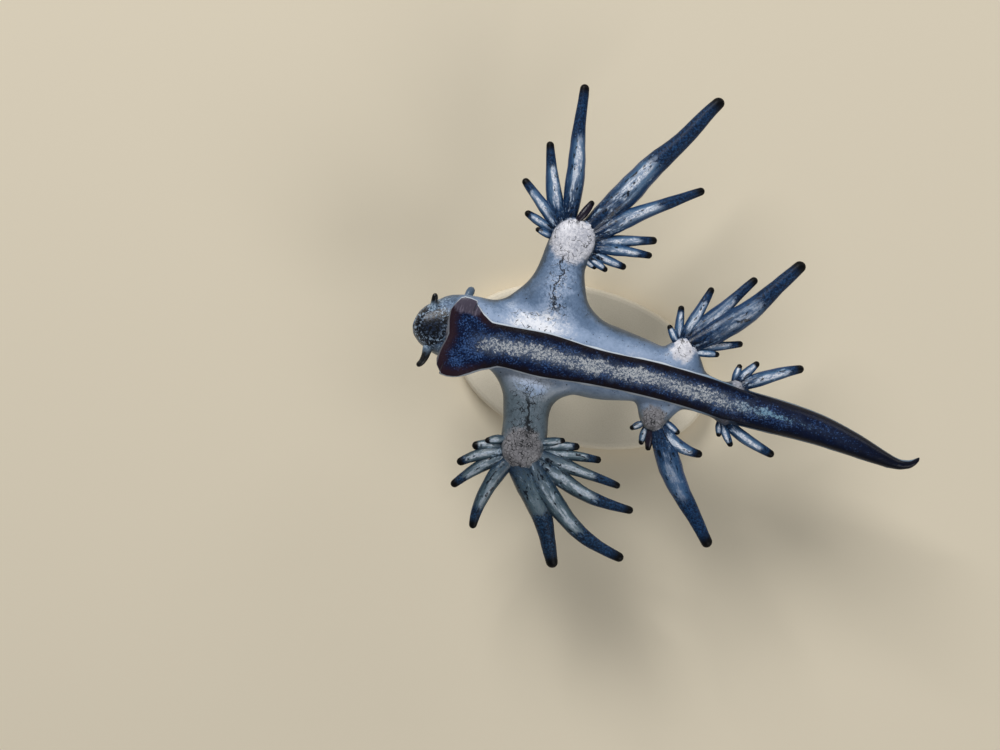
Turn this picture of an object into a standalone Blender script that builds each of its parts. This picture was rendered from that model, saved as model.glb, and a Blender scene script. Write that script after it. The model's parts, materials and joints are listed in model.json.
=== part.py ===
# Blue dragon sea slug (Glaucus atlanticus), adult, life size, still.
# It floats belly up, as in life: the dark sole of the foot faces up, the back faces down.
# Head toward -X, tail toward +X, the animal's left side toward +Y.
# The origin is the centre of the stand's underside, on the surface that the stand rests on.

import math

import bmesh
import bpy
from mathutils import Vector

# Every size below is in millimetres. MM turns it into metres as meshes are made.
MM = 0.001
PARTING_GAP = 0.3          # clear space between neighbouring pieces
LOFT_SIDES = 24            # sides of the trunk and tail
FOOT_SIDES = 20
ARM_SIDES = 20
RING_SPACING = 0.8         # length of body between two rings of the loft
SMALL_RING_SPACING = 0.55

# The stand: an oval plate and two turned rods that reach up to the back.
PLATE_HALF_LENGTH = 9.0
PLATE_HALF_WIDTH = 5.5
PLATE_THICKNESS = 1.8
PLATE_EDGE = 0.4
PLATE_SIDES = 64
ROD_RADIUS = 0.55
ROD_FLANGE_RADIUS = 1.15
ROD_FLANGE_HEIGHT = 0.45
ROD_SADDLE_RADIUS = 0.9
ROD_SADDLE_HEIGHT = 0.5
ROD_TURN = 1.0             # height over which the rod widens to its flange or saddle
ROD_STEPS = 24
ROD_PLACES = {"stand_rod_front": -4.6, "stand_rod_rear": 4.4}

# The spine of the animal from the tip of the head to the tip of the tail.
# Each row: along, across, height of the axis, half width, half depth.
SPINE = [
    (-11.80, -0.10, 9.60, 0.28, 0.30),
    (-11.62, -0.12, 9.58, 0.80, 0.78),
    (-11.20, -0.08, 9.52, 1.24, 1.12),
    (-10.60, -0.02, 9.42, 1.58, 1.32),
    (-9.80, 0.14, 9.30, 1.98, 1.48),
    (-8.60, 0.38, 9.10, 2.22, 1.68),
    (-7.20, 0.44, 8.92, 2.26, 1.84),
    (-5.00, 0.55, 8.82, 2.46, 1.96),
    (-2.00, 0.62, 8.80, 2.62, 2.00),
    (1.00, 0.58, 8.88, 2.60, 1.92),
    (3.80, 0.66, 9.02, 2.28, 1.76),
    (6.00, 0.50, 9.22, 1.76, 1.54),
    (8.00, 0.26, 9.44, 1.34, 1.34),
    (10.30, 0.05, 9.60, 1.28, 1.18),
    (13.00, 0.03, 9.74, 1.24, 1.04),
    (16.00, -0.07, 9.86, 1.10, 0.90),
    (18.80, -0.46, 9.96, 0.84, 0.74),
    (20.60, -0.80, 10.02, 0.60, 0.58),
    (21.90, -0.95, 10.06, 0.42, 0.44),
    (22.60, -0.75, 10.08, 0.35, 0.37),
    (22.97, -0.36, 10.10, 0.27, 0.29),
    (23.12, 0.00, 10.12, 0.14, 0.15),
]
NECK_CUT = -9.40
WAIST_CUT = 1.60
TAIL_ROOT_CUT = 8.10
TAIL_TIP_CUT = 15.60

# The foot is a raised, thin-edged sole with two broad lobes at its front corners.
FOOT = [
    (-9.52, -0.24, 10.66, 2.05, 0.20),
    (-9.34, -0.24, 10.70, 2.52, 0.27),
    (-8.95, -0.26, 10.72, 2.78, 0.30),
    (-8.30, -0.38, 10.72, 2.74, 0.30),
    (-7.75, -0.42, 10.72, 2.46, 0.30),
    (-7.20, -0.40, 10.72, 2.04, 0.30),
    (-6.60, -0.32, 10.72, 1.66, 0.30),
    (-5.80, -0.16, 10.72, 1.46, 0.30),
    (-2.80, -0.02, 10.72, 1.53, 0.30),
    (0.70, 0.10, 10.72, 1.26, 0.30),
    (4.70, 0.28, 10.70, 1.25, 0.30),
    (8.10, 0.22, 10.64, 1.24, 0.30),
]
FOOT_SQUARENESS = 3.2      # 2 is an ellipse in section, larger is more like a slab
FOOT_CUT = -1.20

# The arms reach sideways. Each row: along, across, height, half width, half depth.
ARMS = {
    "1_left": [
        (-2.75, 1.20, 9.10, 3.70, 1.45),
        (-2.95, 3.20, 9.25, 3.25, 1.40),
        (-3.20, 4.10, 9.35, 2.36, 1.30),
        (-3.28, 5.10, 9.42, 1.86, 1.18),
        (-3.30, 6.10, 9.48, 1.58, 1.08),
        (-3.05, 7.10, 9.52, 1.58, 1.06),
        (-2.93, 7.90, 9.55, 1.54, 1.02),
        (-2.88, 8.70, 9.57, 1.22, 0.84),
        (-2.86, 9.15, 9.58, 0.78, 0.58),
        (-2.86, 9.34, 9.58, 0.28, 0.24),
    ],
    "1_right": [
        (-3.05, -0.60, 9.10, 3.30, 1.40),
        (-3.12, -1.90, 9.25, 2.75, 1.36),
        (-3.14, -2.80, 9.34, 1.92, 1.26),
        (-3.05, -3.70, 9.40, 1.60, 1.14),
        (-2.90, -4.70, 9.45, 1.56, 1.08),
        (-2.72, -5.60, 9.50, 1.54, 1.05),
        (-2.64, -6.40, 9.52, 1.48, 1.00),
        (-2.62, -7.20, 9.54, 1.14, 0.80),
        (-2.62, -7.62, 9.55, 0.72, 0.54),
        (-2.62, -7.82, 9.55, 0.26, 0.22),
    ],
    "2_left": [
        (5.85, 0.70, 9.50, 1.95, 1.05),
        (5.95, 1.60, 9.55, 1.55, 0.98),
        (6.02, 2.30, 9.60, 1.14, 0.88),
        (6.05, 2.90, 9.62, 0.88, 0.76),
        (6.06, 3.35, 9.63, 0.55, 0.52),
        (6.06, 3.55, 9.63, 0.22, 0.22),
    ],
    "2_right": [
        (5.35, 0.00, 9.45, 1.60, 1.00),
        (5.32, -1.10, 9.50, 1.32, 0.95),
        (5.30, -1.75, 9.55, 1.08, 0.88),
        (5.28, -2.30, 9.58, 0.92, 0.78),
        (5.28, -2.80, 9.60, 0.58, 0.52),
        (5.28, -3.02, 9.60, 0.22, 0.22),
    ],
    "3_left": [
        (9.95, 0.30, 9.60, 0.95, 0.70),
        (10.02, 1.10, 9.62, 0.72, 0.62),
        (10.10, 1.62, 9.64, 0.46, 0.46),
        (10.12, 1.86, 9.64, 0.18, 0.20),
    ],
    "3_right": [
        (9.75, 0.10, 9.60, 0.90, 0.70),
        (9.80, -0.90, 9.62, 0.70, 0.62),
        (9.86, -1.36, 9.64, 0.44, 0.44),
        (9.88, -1.60, 9.64, 0.18, 0.20),
    ],
}
WRIST_CUTS = {"1_left": 6.00, "1_right": -4.90}

# The cerata stand in one row round the end of each arm, as finger-like plumes.
# A hand gives the centre of its fan, the radius at which the cerata leave it and their height.
HANDS = {
    "1_left": (-2.93, 7.84, 1.35, 9.60),
    "1_right": (-2.64, -6.37, 1.25, 9.58),
    "2_left": (6.03, 2.72, 0.66, 9.66),
    "2_right": (5.28, -2.18, 0.70, 9.62),
    "3_left": (10.10, 1.36, 0.30, 9.66),
    "3_right": (9.84, -1.10, 0.26, 9.66),
}
# Each ceras: bearing of its root, bearing toward its tip, length, width, bend, rise of its root.
# A bend is the sideways bow as a share of the length, to the left of its course when positive.
CERATA = {
    "1_left": [
        (-175, 168, 1.3, 0.50, 0.00, 0.15),
        (170, 159, 2.4, 0.67, 0.00, 0.00),
        (154, 139, 4.0, 0.87, 0.00, 0.10),
        (138, 113, 5.6, 1.12, 0.04, -0.10),
        (113, 99, 9.2, 1.28, 0.00, 0.05),
        (92, 67, 1.7, 0.56, 0.00, 0.45),
        (53, 60, 12.3, 1.78, 0.00, -0.05),
        (26, 38, 7.8, 1.18, 0.03, 0.10),
        (9, 18, 4.1, 0.88, 0.00, -0.05),
        (-7, 9, 3.8, 0.78, 0.03, 0.10),
        (-22, -6, 2.4, 0.64, 0.00, 0.00),
        (-33, -20, 1.6, 0.52, 0.00, 0.12),
        (-44, -23, 1.1, 0.50, 0.00, 0.00),
    ],
    "1_right": [
        (165, -148, 1.1, 0.50, 0.00, 0.15),
        (-175, -163, 1.8, 0.70, 0.00, 0.00),
        (-155, -150, 3.2, 0.86, -0.07, 0.10),
        (-137, -137, 4.1, 0.93, -0.05, -0.05),
        (-120, -103, 5.1, 1.08, -0.09, 0.10),
        (-86, -54, 7.2, 1.70, 0.02, -0.05),
        (-40, -32, 8.8, 1.42, -0.10, 0.08),
        (-20, -14, 7.3, 1.20, -0.07, -0.08),
        (-6, -7, 5.8, 0.98, 0.00, 0.10),
        (6, 6, 4.1, 0.82, 0.00, -0.05),
        (19, 15, 2.5, 0.62, 0.00, 0.10),
        (33, 15, 1.6, 0.54, 0.00, 0.20),
    ],
    "2_left": [
        (150, 126, 1.3, 0.54, 0.00, 0.20),
        (134, 100, 2.4, 0.62, 0.00, 0.00),
        (113, 74, 4.1, 0.82, 0.00, 0.10),
        (85, 56, 6.3, 1.12, 0.00, -0.05),
        (51, 51, 9.3, 1.68, -0.05, 0.08),
        (22, 21, 3.4, 0.66, 0.00, -0.05),
        (2, 10, 1.8, 0.54, 0.00, 0.10),
    ],
    "2_right": [
        (-138, -141, 1.0, 0.50, 0.00, 0.10),
        (-114, -92, 1.3, 0.54, 0.00, -0.10),
        (-88, -82, 1.5, 0.56, 0.00, 0.12),
        (-52, -51, 8.7, 1.60, -0.03, 0.00),
        (-22, -22, 3.4, 0.88, -0.13, 0.10),
        (0, -23, 1.4, 0.54, 0.00, 0.05),
    ],
    "3_left": [
        (150, 84, 1.3, 0.52, 0.00, 0.00),
        (95, 57, 1.9, 0.64, 0.00, 0.08),
        (5, 30, 4.4, 1.00, 0.04, 0.00),
    ],
    "3_right": [
        (-160, -78, 1.1, 0.50, 0.00, 0.00),
        (-110, -52, 1.7, 0.56, 0.00, 0.08),
        (-25, -20, 3.9, 0.86, -0.03, 0.00),
    ],
}
# Share of the full radius from root to tip: narrow at the root, full near a third, blunt at the tip.
CERAS_PROFILE = [(0.0, 0.68), (0.12, 0.86), (0.30, 1.0), (0.54, 0.78), (0.76, 0.58), (0.94, 0.44), (1.0, 0.26)]
CERAS_SINK = 0.75          # length of a root inside the arm
SMALL_CERAS_SINK = 0.45
SMALL_HAND_RADIUS = 0.5
CERAS_DROOP = 0.045        # fall of a tip, as a share of the length
CERAS_SWAY = 0.05          # difference in height between neighbours' tips, as a share of the length
SWAY_TURN = 2.2            # radians from one ceras to the next
BROAD_CERAS = 0.95         # from this width on a ceras has eight sides, below it six

# Feelers. Each row: root inside the head, tip, root radius, tip radius.
FEELERS = {
    "oral_tentacle_left": ((-10.66, 0.40, 10.10), (-10.84, 2.00, 10.50), 0.34, 0.16),
    "oral_tentacle_right": ((-10.45, -0.70, 9.75), (-10.60, -2.78, 9.90), 0.36, 0.15),
    "rhinophore_left": ((-9.25, 1.20, 8.80), (-8.56, 3.20, 7.85), 0.36, 0.20),
    "rhinophore_right": ((-9.25, -0.80, 8.80), (-8.75, -2.75, 7.85), 0.36, 0.20),
}
FEELER_STEPS = 5

# The mouth is a short slit with its ends turned down, high on the front of the head.
MOUTH_CENTRE = (-11.62, -0.10, 10.05)
MOUTH_HALF_WIDTH = 0.48
MOUTH_HALF_HEIGHT = 0.10
MOUTH_HALF_DEPTH = 0.42

MODEL = bpy.data.collections.new("blue_dragon_sea_slug")
CUTTERS = bpy.data.collections.new("cutters")


def clear_scene():
    for thing in list(bpy.data.objects):
        bpy.data.objects.remove(thing, do_unlink=True)
    bpy.context.scene.collection.children.link(MODEL)
    bpy.context.scene.collection.children.link(CUTTERS)
    CUTTERS.hide_render = True


def finish_of(name, colour, roughness, metallic=0.0):
    """A Principled material of the piece's plain colour."""
    material = bpy.data.materials.new(name)
    material.use_nodes = True
    shader = material.node_tree.nodes["Principled BSDF"]
    shader.inputs["Base Color"].default_value = (*colour, 1.0)
    shader.inputs["Roughness"].default_value = roughness
    shader.inputs["Metallic"].default_value = metallic
    material.diffuse_color = (*colour, 1.0)
    return material


def add_piece(name, mesh, collection=MODEL):
    piece = bpy.data.objects.new(name, mesh)
    collection.objects.link(piece)
    if collection is CUTTERS:
        piece.hide_render = True
        piece.display_type = "WIRE"
    return piece


def smooth_rows(rows, spacing):
    """Rows resampled along a smooth curve through the given ones, about one every spacing."""
    places = [0.0]
    for before, after in zip(rows, rows[1:]):
        places.append(places[-1] + (Vector(after[:3]) - Vector(before[:3])).length)
    slopes = []
    for index in range(len(rows)):
        low, high = max(index - 1, 0), min(index + 1, len(rows) - 1)
        run = places[high] - places[low]
        slopes.append([(b - a) / run for a, b in zip(rows[low], rows[high])])
    result = []
    for index in range(len(rows) - 1):
        run = places[index + 1] - places[index]
        steps = max(1, round(run / spacing))
        for step in range(steps):
            t = step / steps
            weights = (2 * t**3 - 3 * t**2 + 1, (t**3 - 2 * t**2 + t) * run,
                       3 * t**2 - 2 * t**3, (t**3 - t**2) * run)
            result.append([
                weights[0] * start + weights[1] * leave + weights[2] * end + weights[3] * arrive
                for start, leave, end, arrive
                in zip(rows[index], slopes[index], rows[index + 1], slopes[index + 1])
            ])
    result.append(list(rows[-1]))
    return result


def loft(name, rows, spacing, sides, squareness=2.0, margin=0.0, collection=MODEL):
    """A closed body through oval sections that stand square to the course of the rows."""
    rings = smooth_rows(rows, spacing)
    centres = [Vector(row[:3]) for row in rings]
    shape = bmesh.new()
    loops = []
    for index, row in enumerate(rings):
        course = centres[min(index + 1, len(rings) - 1)] - centres[max(index - 1, 0)]
        course.z = 0.0
        course.normalize()
        across = Vector((-course.y, course.x, 0.0))
        centre = centres[index].copy()
        if index == 0:
            first_course = course.copy()
            centre -= course * margin
        if index == len(rings) - 1:
            last_course = course.copy()
            centre += course * margin
        loop = []
        for side in range(sides):
            angle = 2 * math.pi * side / sides
            power = 2.0 / squareness
            wide = math.copysign(abs(math.cos(angle)) ** power, math.cos(angle)) * (row[3] + margin)
            deep = math.copysign(abs(math.sin(angle)) ** power, math.sin(angle)) * (row[4] + margin)
            loop.append(shape.verts.new((centre + across * wide + Vector((0, 0, deep))) * MM))
        loops.append(loop)
    for here, there in zip(loops, loops[1:]):
        for side in range(sides):
            after = (side + 1) % sides
            shape.faces.new((here[side], here[after], there[after], there[side]))
    crown = 0.35
    front_pole = shape.verts.new((centres[0] - first_course * (margin + crown * rings[0][4])) * MM)
    back_pole = shape.verts.new((centres[-1] + last_course * (margin + crown * rings[-1][4])) * MM)
    for side in range(sides):
        after = (side + 1) % sides
        shape.faces.new((front_pole, loops[0][after], loops[0][side]))
        shape.faces.new((back_pole, loops[-1][side], loops[-1][after]))
    bmesh.ops.recalc_face_normals(shape, faces=shape.faces)
    mesh = bpy.data.meshes.new(name)
    shape.to_mesh(mesh)
    shape.free()
    return add_piece(name, mesh, collection)


def slice_off(piece, along, axis, keep_above):
    """Cuts the piece by a plane square to the axis and closes the cut with a flat face."""
    shape = bmesh.new()
    shape.from_mesh(piece.data)
    point, normal = Vector((0, 0, 0)), Vector((0, 0, 0))
    point[axis] = along * MM
    normal[axis] = -1.0 if keep_above else 1.0
    everything = shape.verts[:] + shape.edges[:] + shape.faces[:]
    bmesh.ops.bisect_plane(shape, geom=everything, dist=1e-7, plane_co=point, plane_no=normal, clear_outer=True)
    rim = [edge for edge in shape.edges if edge.is_boundary]
    bmesh.ops.holes_fill(shape, edges=rim, sides=0)
    bmesh.ops.recalc_face_normals(shape, faces=shape.faces)
    shape.to_mesh(piece.data)
    shape.free()


def slice_between(piece, low, high, axis=0):
    """Keeps the stretch between two cuts, half a parting gap short of each. None leaves an end whole."""
    if low is not None:
        slice_off(piece, low + PARTING_GAP / 2, axis, True)
    if high is not None:
        slice_off(piece, high - PARTING_GAP / 2, axis, False)


def apply_modifiers(piece):
    bpy.context.view_layer.update()
    graph = bpy.context.evaluated_depsgraph_get()
    before = piece.data
    piece.data = bpy.data.meshes.new_from_object(piece.evaluated_get(graph))
    piece.modifiers.clear()
    bpy.data.meshes.remove(before)


def enclosed_volume(surface):
    """Volume inside a closed set of faces."""
    total = 0.0
    for face in surface:
        first = face.verts[0].co
        for second, third in zip(face.verts[1:], face.verts[2:]):
            total += first.dot(second.co.cross(third.co)) / 6
    return total


def keep_largest_surface(piece):
    """Leaves the largest closed surface of the piece."""
    shape = bmesh.new()
    shape.from_mesh(piece.data)
    shape.faces.ensure_lookup_table()
    seen, surfaces = set(), []
    for face in shape.faces:
        if face.index in seen:
            continue
        seen.add(face.index)
        surface, waiting = [], [face]
        while waiting:
            here = waiting.pop()
            surface.append(here)
            for edge in here.edges:
                for near in edge.link_faces:
                    if near.index not in seen:
                        seen.add(near.index)
                        waiting.append(near)
        surfaces.append(surface)
    surfaces.sort(key=enclosed_volume)
    scraps = [face for surface in surfaces[:-1] for face in surface]
    bmesh.ops.delete(shape, geom=scraps, context="FACES")
    shape.to_mesh(piece.data)
    shape.free()


def cut_away(piece, cutter):
    """Takes the cutter's space out of the piece."""
    change = piece.modifiers.new("clearance", "BOOLEAN")
    change.operation = "DIFFERENCE"
    change.object = cutter
    apply_modifiers(piece)
    keep_largest_surface(piece)


def plume(name, course, radii, resolution):
    """A tapered, closed tube along the course, made from a curve."""
    curve = bpy.data.curves.new(name, "CURVE")
    curve.dimensions = "3D"
    curve.bevel_depth = MM
    curve.bevel_resolution = resolution
    curve.use_fill_caps = True
    spline = curve.splines.new("POLY")
    spline.points.add(len(course) - 1)
    for point, place, radius in zip(spline.points, course, radii):
        point.co = (*(place * MM), 1.0)
        point.radius = radius
    guide = bpy.data.objects.new(name + "_guide", curve)
    bpy.context.scene.collection.objects.link(guide)
    bpy.context.view_layer.update()
    graph = bpy.context.evaluated_depsgraph_get()
    mesh = bpy.data.meshes.new_from_object(guide.evaluated_get(graph))
    bpy.data.objects.remove(guide)
    shape = bmesh.new()
    shape.from_mesh(mesh)
    bmesh.ops.remove_doubles(shape, verts=shape.verts, dist=1e-7)
    bmesh.ops.recalc_face_normals(shape, faces=shape.faces)
    shape.to_mesh(mesh)
    shape.free()
    mesh.name = name
    return mesh


def ceras_course(hand, entry, index):
    """Places and radii along one ceras, from its root inside the hand to its tip."""
    centre_x, centre_y, reach, height = hand
    root_bearing, tip_bearing, length, width, bend, rise = entry
    sink = CERAS_SINK if reach > SMALL_HAND_RADIUS else SMALL_CERAS_SINK
    out = Vector((math.cos(math.radians(root_bearing)), math.sin(math.radians(root_bearing)), 0))
    course = Vector((math.cos(math.radians(tip_bearing)), math.sin(math.radians(tip_bearing)), 0))
    left = Vector((-course.y, course.x, 0))
    mouth = Vector((centre_x, centre_y, height + rise)) + out * reach
    sway = CERAS_SWAY * math.sin(SWAY_TURN * index) - CERAS_DROOP
    places = [mouth - out * sink * 0.6 - course * sink * 0.4]
    radii = [CERAS_PROFILE[0][1] * width / 2]
    for share, part in CERAS_PROFILE:
        bow = 4 * share * (1 - share) * bend * length
        lift = sway * length * share**1.5
        places.append(mouth + course * length * share + left * bow + Vector((0, 0, lift)))
        radii.append(part * width / 2)
    return places, radii


def fan_of_cerata(side):
    """The cerata of one arm, each a mesh object of its own in a collection."""
    fan = bpy.data.collections.new("fan_" + side)
    bpy.context.scene.collection.children.link(fan)
    for index, entry in enumerate(CERATA[side]):
        places, radii = ceras_course(HANDS[side], entry, index)
        resolution = 2 if entry[3] >= BROAD_CERAS else 1
        name = f"ceras_{side}_{index}"
        add_piece(name, plume(name, places, radii, resolution), fan)
    return fan


def join_fan(piece, fan):
    """One union of the arm end with its cerata, which are then gone as objects."""
    change = piece.modifiers.new("cerata", "BOOLEAN")
    change.operation = "UNION"
    change.operand_type = "COLLECTION"
    change.collection = fan
    apply_modifiers(piece)
    for plume_piece in list(fan.objects):
        bpy.data.objects.remove(plume_piece)
    bpy.data.collections.remove(fan)
    keep_largest_surface(piece)


def make_plate():
    bpy.ops.mesh.primitive_cylinder_add(
        vertices=PLATE_SIDES, radius=1.0, depth=1.0, location=(0, 0, PLATE_THICKNESS / 2 * MM))
    plate = bpy.context.active_object
    plate.name = "stand_base"
    plate.scale = (PLATE_HALF_LENGTH * MM, PLATE_HALF_WIDTH * MM, PLATE_THICKNESS * MM)
    bpy.ops.object.transform_apply(location=False, rotation=False, scale=True)
    for collection in list(plate.users_collection):
        collection.objects.unlink(plate)
    MODEL.objects.link(plate)
    edge = plate.modifiers.new("rounded edge", "BEVEL")
    edge.width = PLATE_EDGE * MM
    edge.segments = 3
    edge.limit_method = "ANGLE"
    return plate


def back_height(along):
    """Height of the lowest line of the back at a place along the body."""
    rings = smooth_rows(SPINE, RING_SPACING)
    near = min(rings, key=lambda row: abs(row[0] - along))
    return near[2] - near[4], near[1]


def make_rod(name, along):
    underside, across = back_height(along)
    bottom = PLATE_THICKNESS + PARTING_GAP
    top = underside - PARTING_GAP
    profile = [
        (0.0, top),
        (ROD_SADDLE_RADIUS, top),
        (ROD_SADDLE_RADIUS, top - ROD_SADDLE_HEIGHT),
        (ROD_RADIUS, top - ROD_SADDLE_HEIGHT - ROD_TURN),
        (ROD_RADIUS, bottom + ROD_FLANGE_HEIGHT + ROD_TURN),
        (ROD_FLANGE_RADIUS, bottom + ROD_FLANGE_HEIGHT),
        (ROD_FLANGE_RADIUS, bottom),
        (0.0, bottom),
    ]
    mesh = bpy.data.meshes.new(name)
    corners = [(radius * MM, 0.0, height * MM) for radius, height in profile]
    mesh.from_pydata(corners, [(n, n + 1) for n in range(len(corners) - 1)], [])
    rod = add_piece(name, mesh)
    rod.location = (along * MM, across * MM, 0.0)
    turn = rod.modifiers.new("turned", "SCREW")
    turn.steps = ROD_STEPS
    turn.render_steps = ROD_STEPS
    turn.use_merge_vertices = True
    turn.merge_threshold = 1e-6
    return rod


def make_mouth_cutter():
    bpy.ops.mesh.primitive_uv_sphere_add(
        segments=16, ring_count=8, radius=1.0, location=[value * MM for value in MOUTH_CENTRE])
    slit = bpy.context.active_object
    slit.name = "mouth_slit"
    slit.scale = (MOUTH_HALF_DEPTH * MM, MOUTH_HALF_WIDTH * MM, MOUTH_HALF_HEIGHT * MM)
    for collection in list(slit.users_collection):
        collection.objects.unlink(slit)
    CUTTERS.objects.link(slit)
    slit.hide_render = True
    slit.display_type = "WIRE"
    return slit


def make_spine_pieces(foot_clearance):
    """Head, trunk and tail, parted from one smooth body."""
    cuts = [None, NECK_CUT, WAIST_CUT, TAIL_ROOT_CUT, TAIL_TIP_CUT, None]
    names = ["head", "trunk_front", "trunk_rear", "tail", "tail_tip"]
    pieces = {}
    for name, low, high in zip(names, cuts, cuts[1:]):
        pieces[name] = loft(name, SPINE, RING_SPACING, LOFT_SIDES)
        slice_between(pieces[name], low, high)
    for name in ("head", "trunk_front", "trunk_rear"):
        cut_away(pieces[name], foot_clearance)
    cut_away(pieces["head"], make_mouth_cutter())
    return pieces


def make_foot_pieces():
    pieces = {}
    for name, low, high in (("foot_front", None, FOOT_CUT), ("foot_rear", FOOT_CUT, TAIL_ROOT_CUT)):
        pieces[name] = loft(name, FOOT, SMALL_RING_SPACING, FOOT_SIDES, FOOT_SQUARENESS)
        slice_between(pieces[name], low, high)
    return pieces


def make_arm_pieces(body_clearance, foot_clearance):
    """Each front arm is parted at its wrist; the others are one piece with their cerata."""
    pieces = {}
    for side, rows in ARMS.items():
        fan_piece = loft("cerata_" + side, rows, SMALL_RING_SPACING, ARM_SIDES)
        if side in WRIST_CUTS:
            arm = loft("arm_" + side, rows, SMALL_RING_SPACING, ARM_SIDES)
            wrist = WRIST_CUTS[side]
            outward = wrist > 0
            slice_between(arm, None if outward else wrist, wrist if outward else None, axis=1)
            slice_between(fan_piece, wrist if outward else None, None if outward else wrist, axis=1)
            cut_away(arm, body_clearance)
            pieces["arm_" + side] = arm
        join_fan(fan_piece, fan_of_cerata(side))
        if side not in WRIST_CUTS:
            cut_away(fan_piece, body_clearance)
            cut_away(fan_piece, foot_clearance)
        pieces["cerata_" + side] = fan_piece
    return pieces


def make_feelers(body_clearance, foot_clearance):
    pieces = {}
    for name, (root, tip, root_radius, tip_radius) in FEELERS.items():
        places, radii = [], []
        for step in range(FEELER_STEPS + 1):
            share = step / FEELER_STEPS
            places.append(Vector(root).lerp(Vector(tip), share))
            radii.append(root_radius + (tip_radius - root_radius) * share)
        feeler = add_piece(name, plume(name, places, radii, 2))
        cut_away(feeler, body_clearance)
        cut_away(feeler, foot_clearance)
        pieces[name] = feeler
    return pieces


def make_animal():
    body_clearance = loft(
        "body_clearance", SPINE, RING_SPACING, LOFT_SIDES, margin=PARTING_GAP, collection=CUTTERS)
    foot_clearance = loft(
        "foot_clearance", FOOT, SMALL_RING_SPACING, FOOT_SIDES, FOOT_SQUARENESS, PARTING_GAP, CUTTERS)
    flesh = {}
    flesh.update(make_spine_pieces(foot_clearance))
    flesh.update(make_foot_pieces())
    flesh.update(make_arm_pieces(body_clearance, foot_clearance))
    flesh.update(make_feelers(body_clearance, foot_clearance))
    return flesh


FINISHES = {
    "head": ((0.05, 0.09, 0.16), 0.25),
    "trunk": ((0.42, 0.54, 0.66), 0.25),
    "tail": ((0.10, 0.17, 0.32), 0.25),
    "foot": ((0.02, 0.05, 0.16), 0.25),
    "arm": ((0.45, 0.57, 0.68), 0.25),
    "cerata": ((0.10, 0.24, 0.45), 0.22),
    "oral": ((0.02, 0.03, 0.06), 0.25),
    "rhinophore": ((0.20, 0.30, 0.42), 0.25),
}


def main():
    clear_scene()
    for name, piece in make_animal().items():
        colour, roughness = FINISHES[name.split("_")[0]]
        piece.data.materials.clear()
        piece.data.materials.append(finish_of(name, colour, roughness))
        piece.data.shade_smooth()
        piece.data.set_sharp_from_angle(angle=math.radians(50))
    stand = [make_plate()]
    for name, along in ROD_PLACES.items():
        stand.append(make_rod(name, along))
    for piece in stand:
        piece.data.materials.append(finish_of(piece.name, (0.80, 0.79, 0.76), 0.5))


main()
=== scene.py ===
import json
import math
import random

import bmesh
import bpy
import numpy as np
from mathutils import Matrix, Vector

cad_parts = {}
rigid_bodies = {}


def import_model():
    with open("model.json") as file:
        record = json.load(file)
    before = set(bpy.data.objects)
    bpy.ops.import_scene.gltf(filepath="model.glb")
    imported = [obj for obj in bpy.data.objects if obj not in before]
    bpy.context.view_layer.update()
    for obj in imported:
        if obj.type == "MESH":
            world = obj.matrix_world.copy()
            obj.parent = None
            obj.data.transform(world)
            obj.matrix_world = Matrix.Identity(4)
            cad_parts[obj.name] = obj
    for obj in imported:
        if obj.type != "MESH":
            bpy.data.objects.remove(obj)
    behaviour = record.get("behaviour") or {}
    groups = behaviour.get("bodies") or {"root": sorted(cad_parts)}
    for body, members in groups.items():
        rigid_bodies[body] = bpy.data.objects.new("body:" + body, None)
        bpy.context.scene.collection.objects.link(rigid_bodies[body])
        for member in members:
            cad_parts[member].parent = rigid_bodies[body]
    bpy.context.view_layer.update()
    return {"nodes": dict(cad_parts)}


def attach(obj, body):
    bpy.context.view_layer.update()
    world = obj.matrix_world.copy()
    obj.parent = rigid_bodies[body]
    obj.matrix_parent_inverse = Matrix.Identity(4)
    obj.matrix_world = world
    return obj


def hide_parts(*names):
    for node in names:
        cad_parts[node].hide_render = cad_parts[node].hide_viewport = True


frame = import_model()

# Blue dragon sea slug, life size, belly up on a plain display stand.
# The flesh is one skin. It is modelled in millimetres and made metres at the end.
millimetre = 0.001


def setMode(name):
    bpy.ops.object.mode_set(mode=name)


def deselectAll():
    if bpy.context.object and bpy.context.object.mode != "OBJECT":
        setMode("OBJECT")
    bpy.ops.object.select_all(action="DESELECT")


def pick(*things):
    deselectAll()
    for thing in things:
        thing.select_set(True)
    bpy.context.view_layer.objects.active = things[0]


def applyModifier(thing, kind, **settings):
    pick(thing)
    change = thing.modifiers.new(kind.lower(), kind)
    for name, value in settings.items():
        setattr(change, name, value)
    bpy.ops.object.modifier_apply(modifier=change.name)


def applyPlace():
    bpy.ops.object.transform_apply(location=True, rotation=True, scale=True)


def closeEnds():
    # the first and the last ring are filled, and all faces turned outwards
    bpy.ops.mesh.select_all(action="SELECT")
    bpy.ops.mesh.fill_holes(sides=0)
    bpy.ops.mesh.normals_make_consistent(inside=False)
    setMode("OBJECT")
    applyPlace()


def addEllipsoid(place, size):
    deselectAll()
    bpy.ops.mesh.primitive_uv_sphere_add(segments=32, ring_count=16, radius=1.0, location=place)
    bpy.ops.transform.resize(value=size)
    applyPlace()
    return bpy.context.active_object


def addObject(name, data):
    thing = bpy.data.objects.new(name, data)
    bpy.context.scene.collection.objects.link(thing)
    return thing


def giveFinish(piece, finish):
    piece.data.materials.clear()
    piece.data.materials.append(finish)


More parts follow.
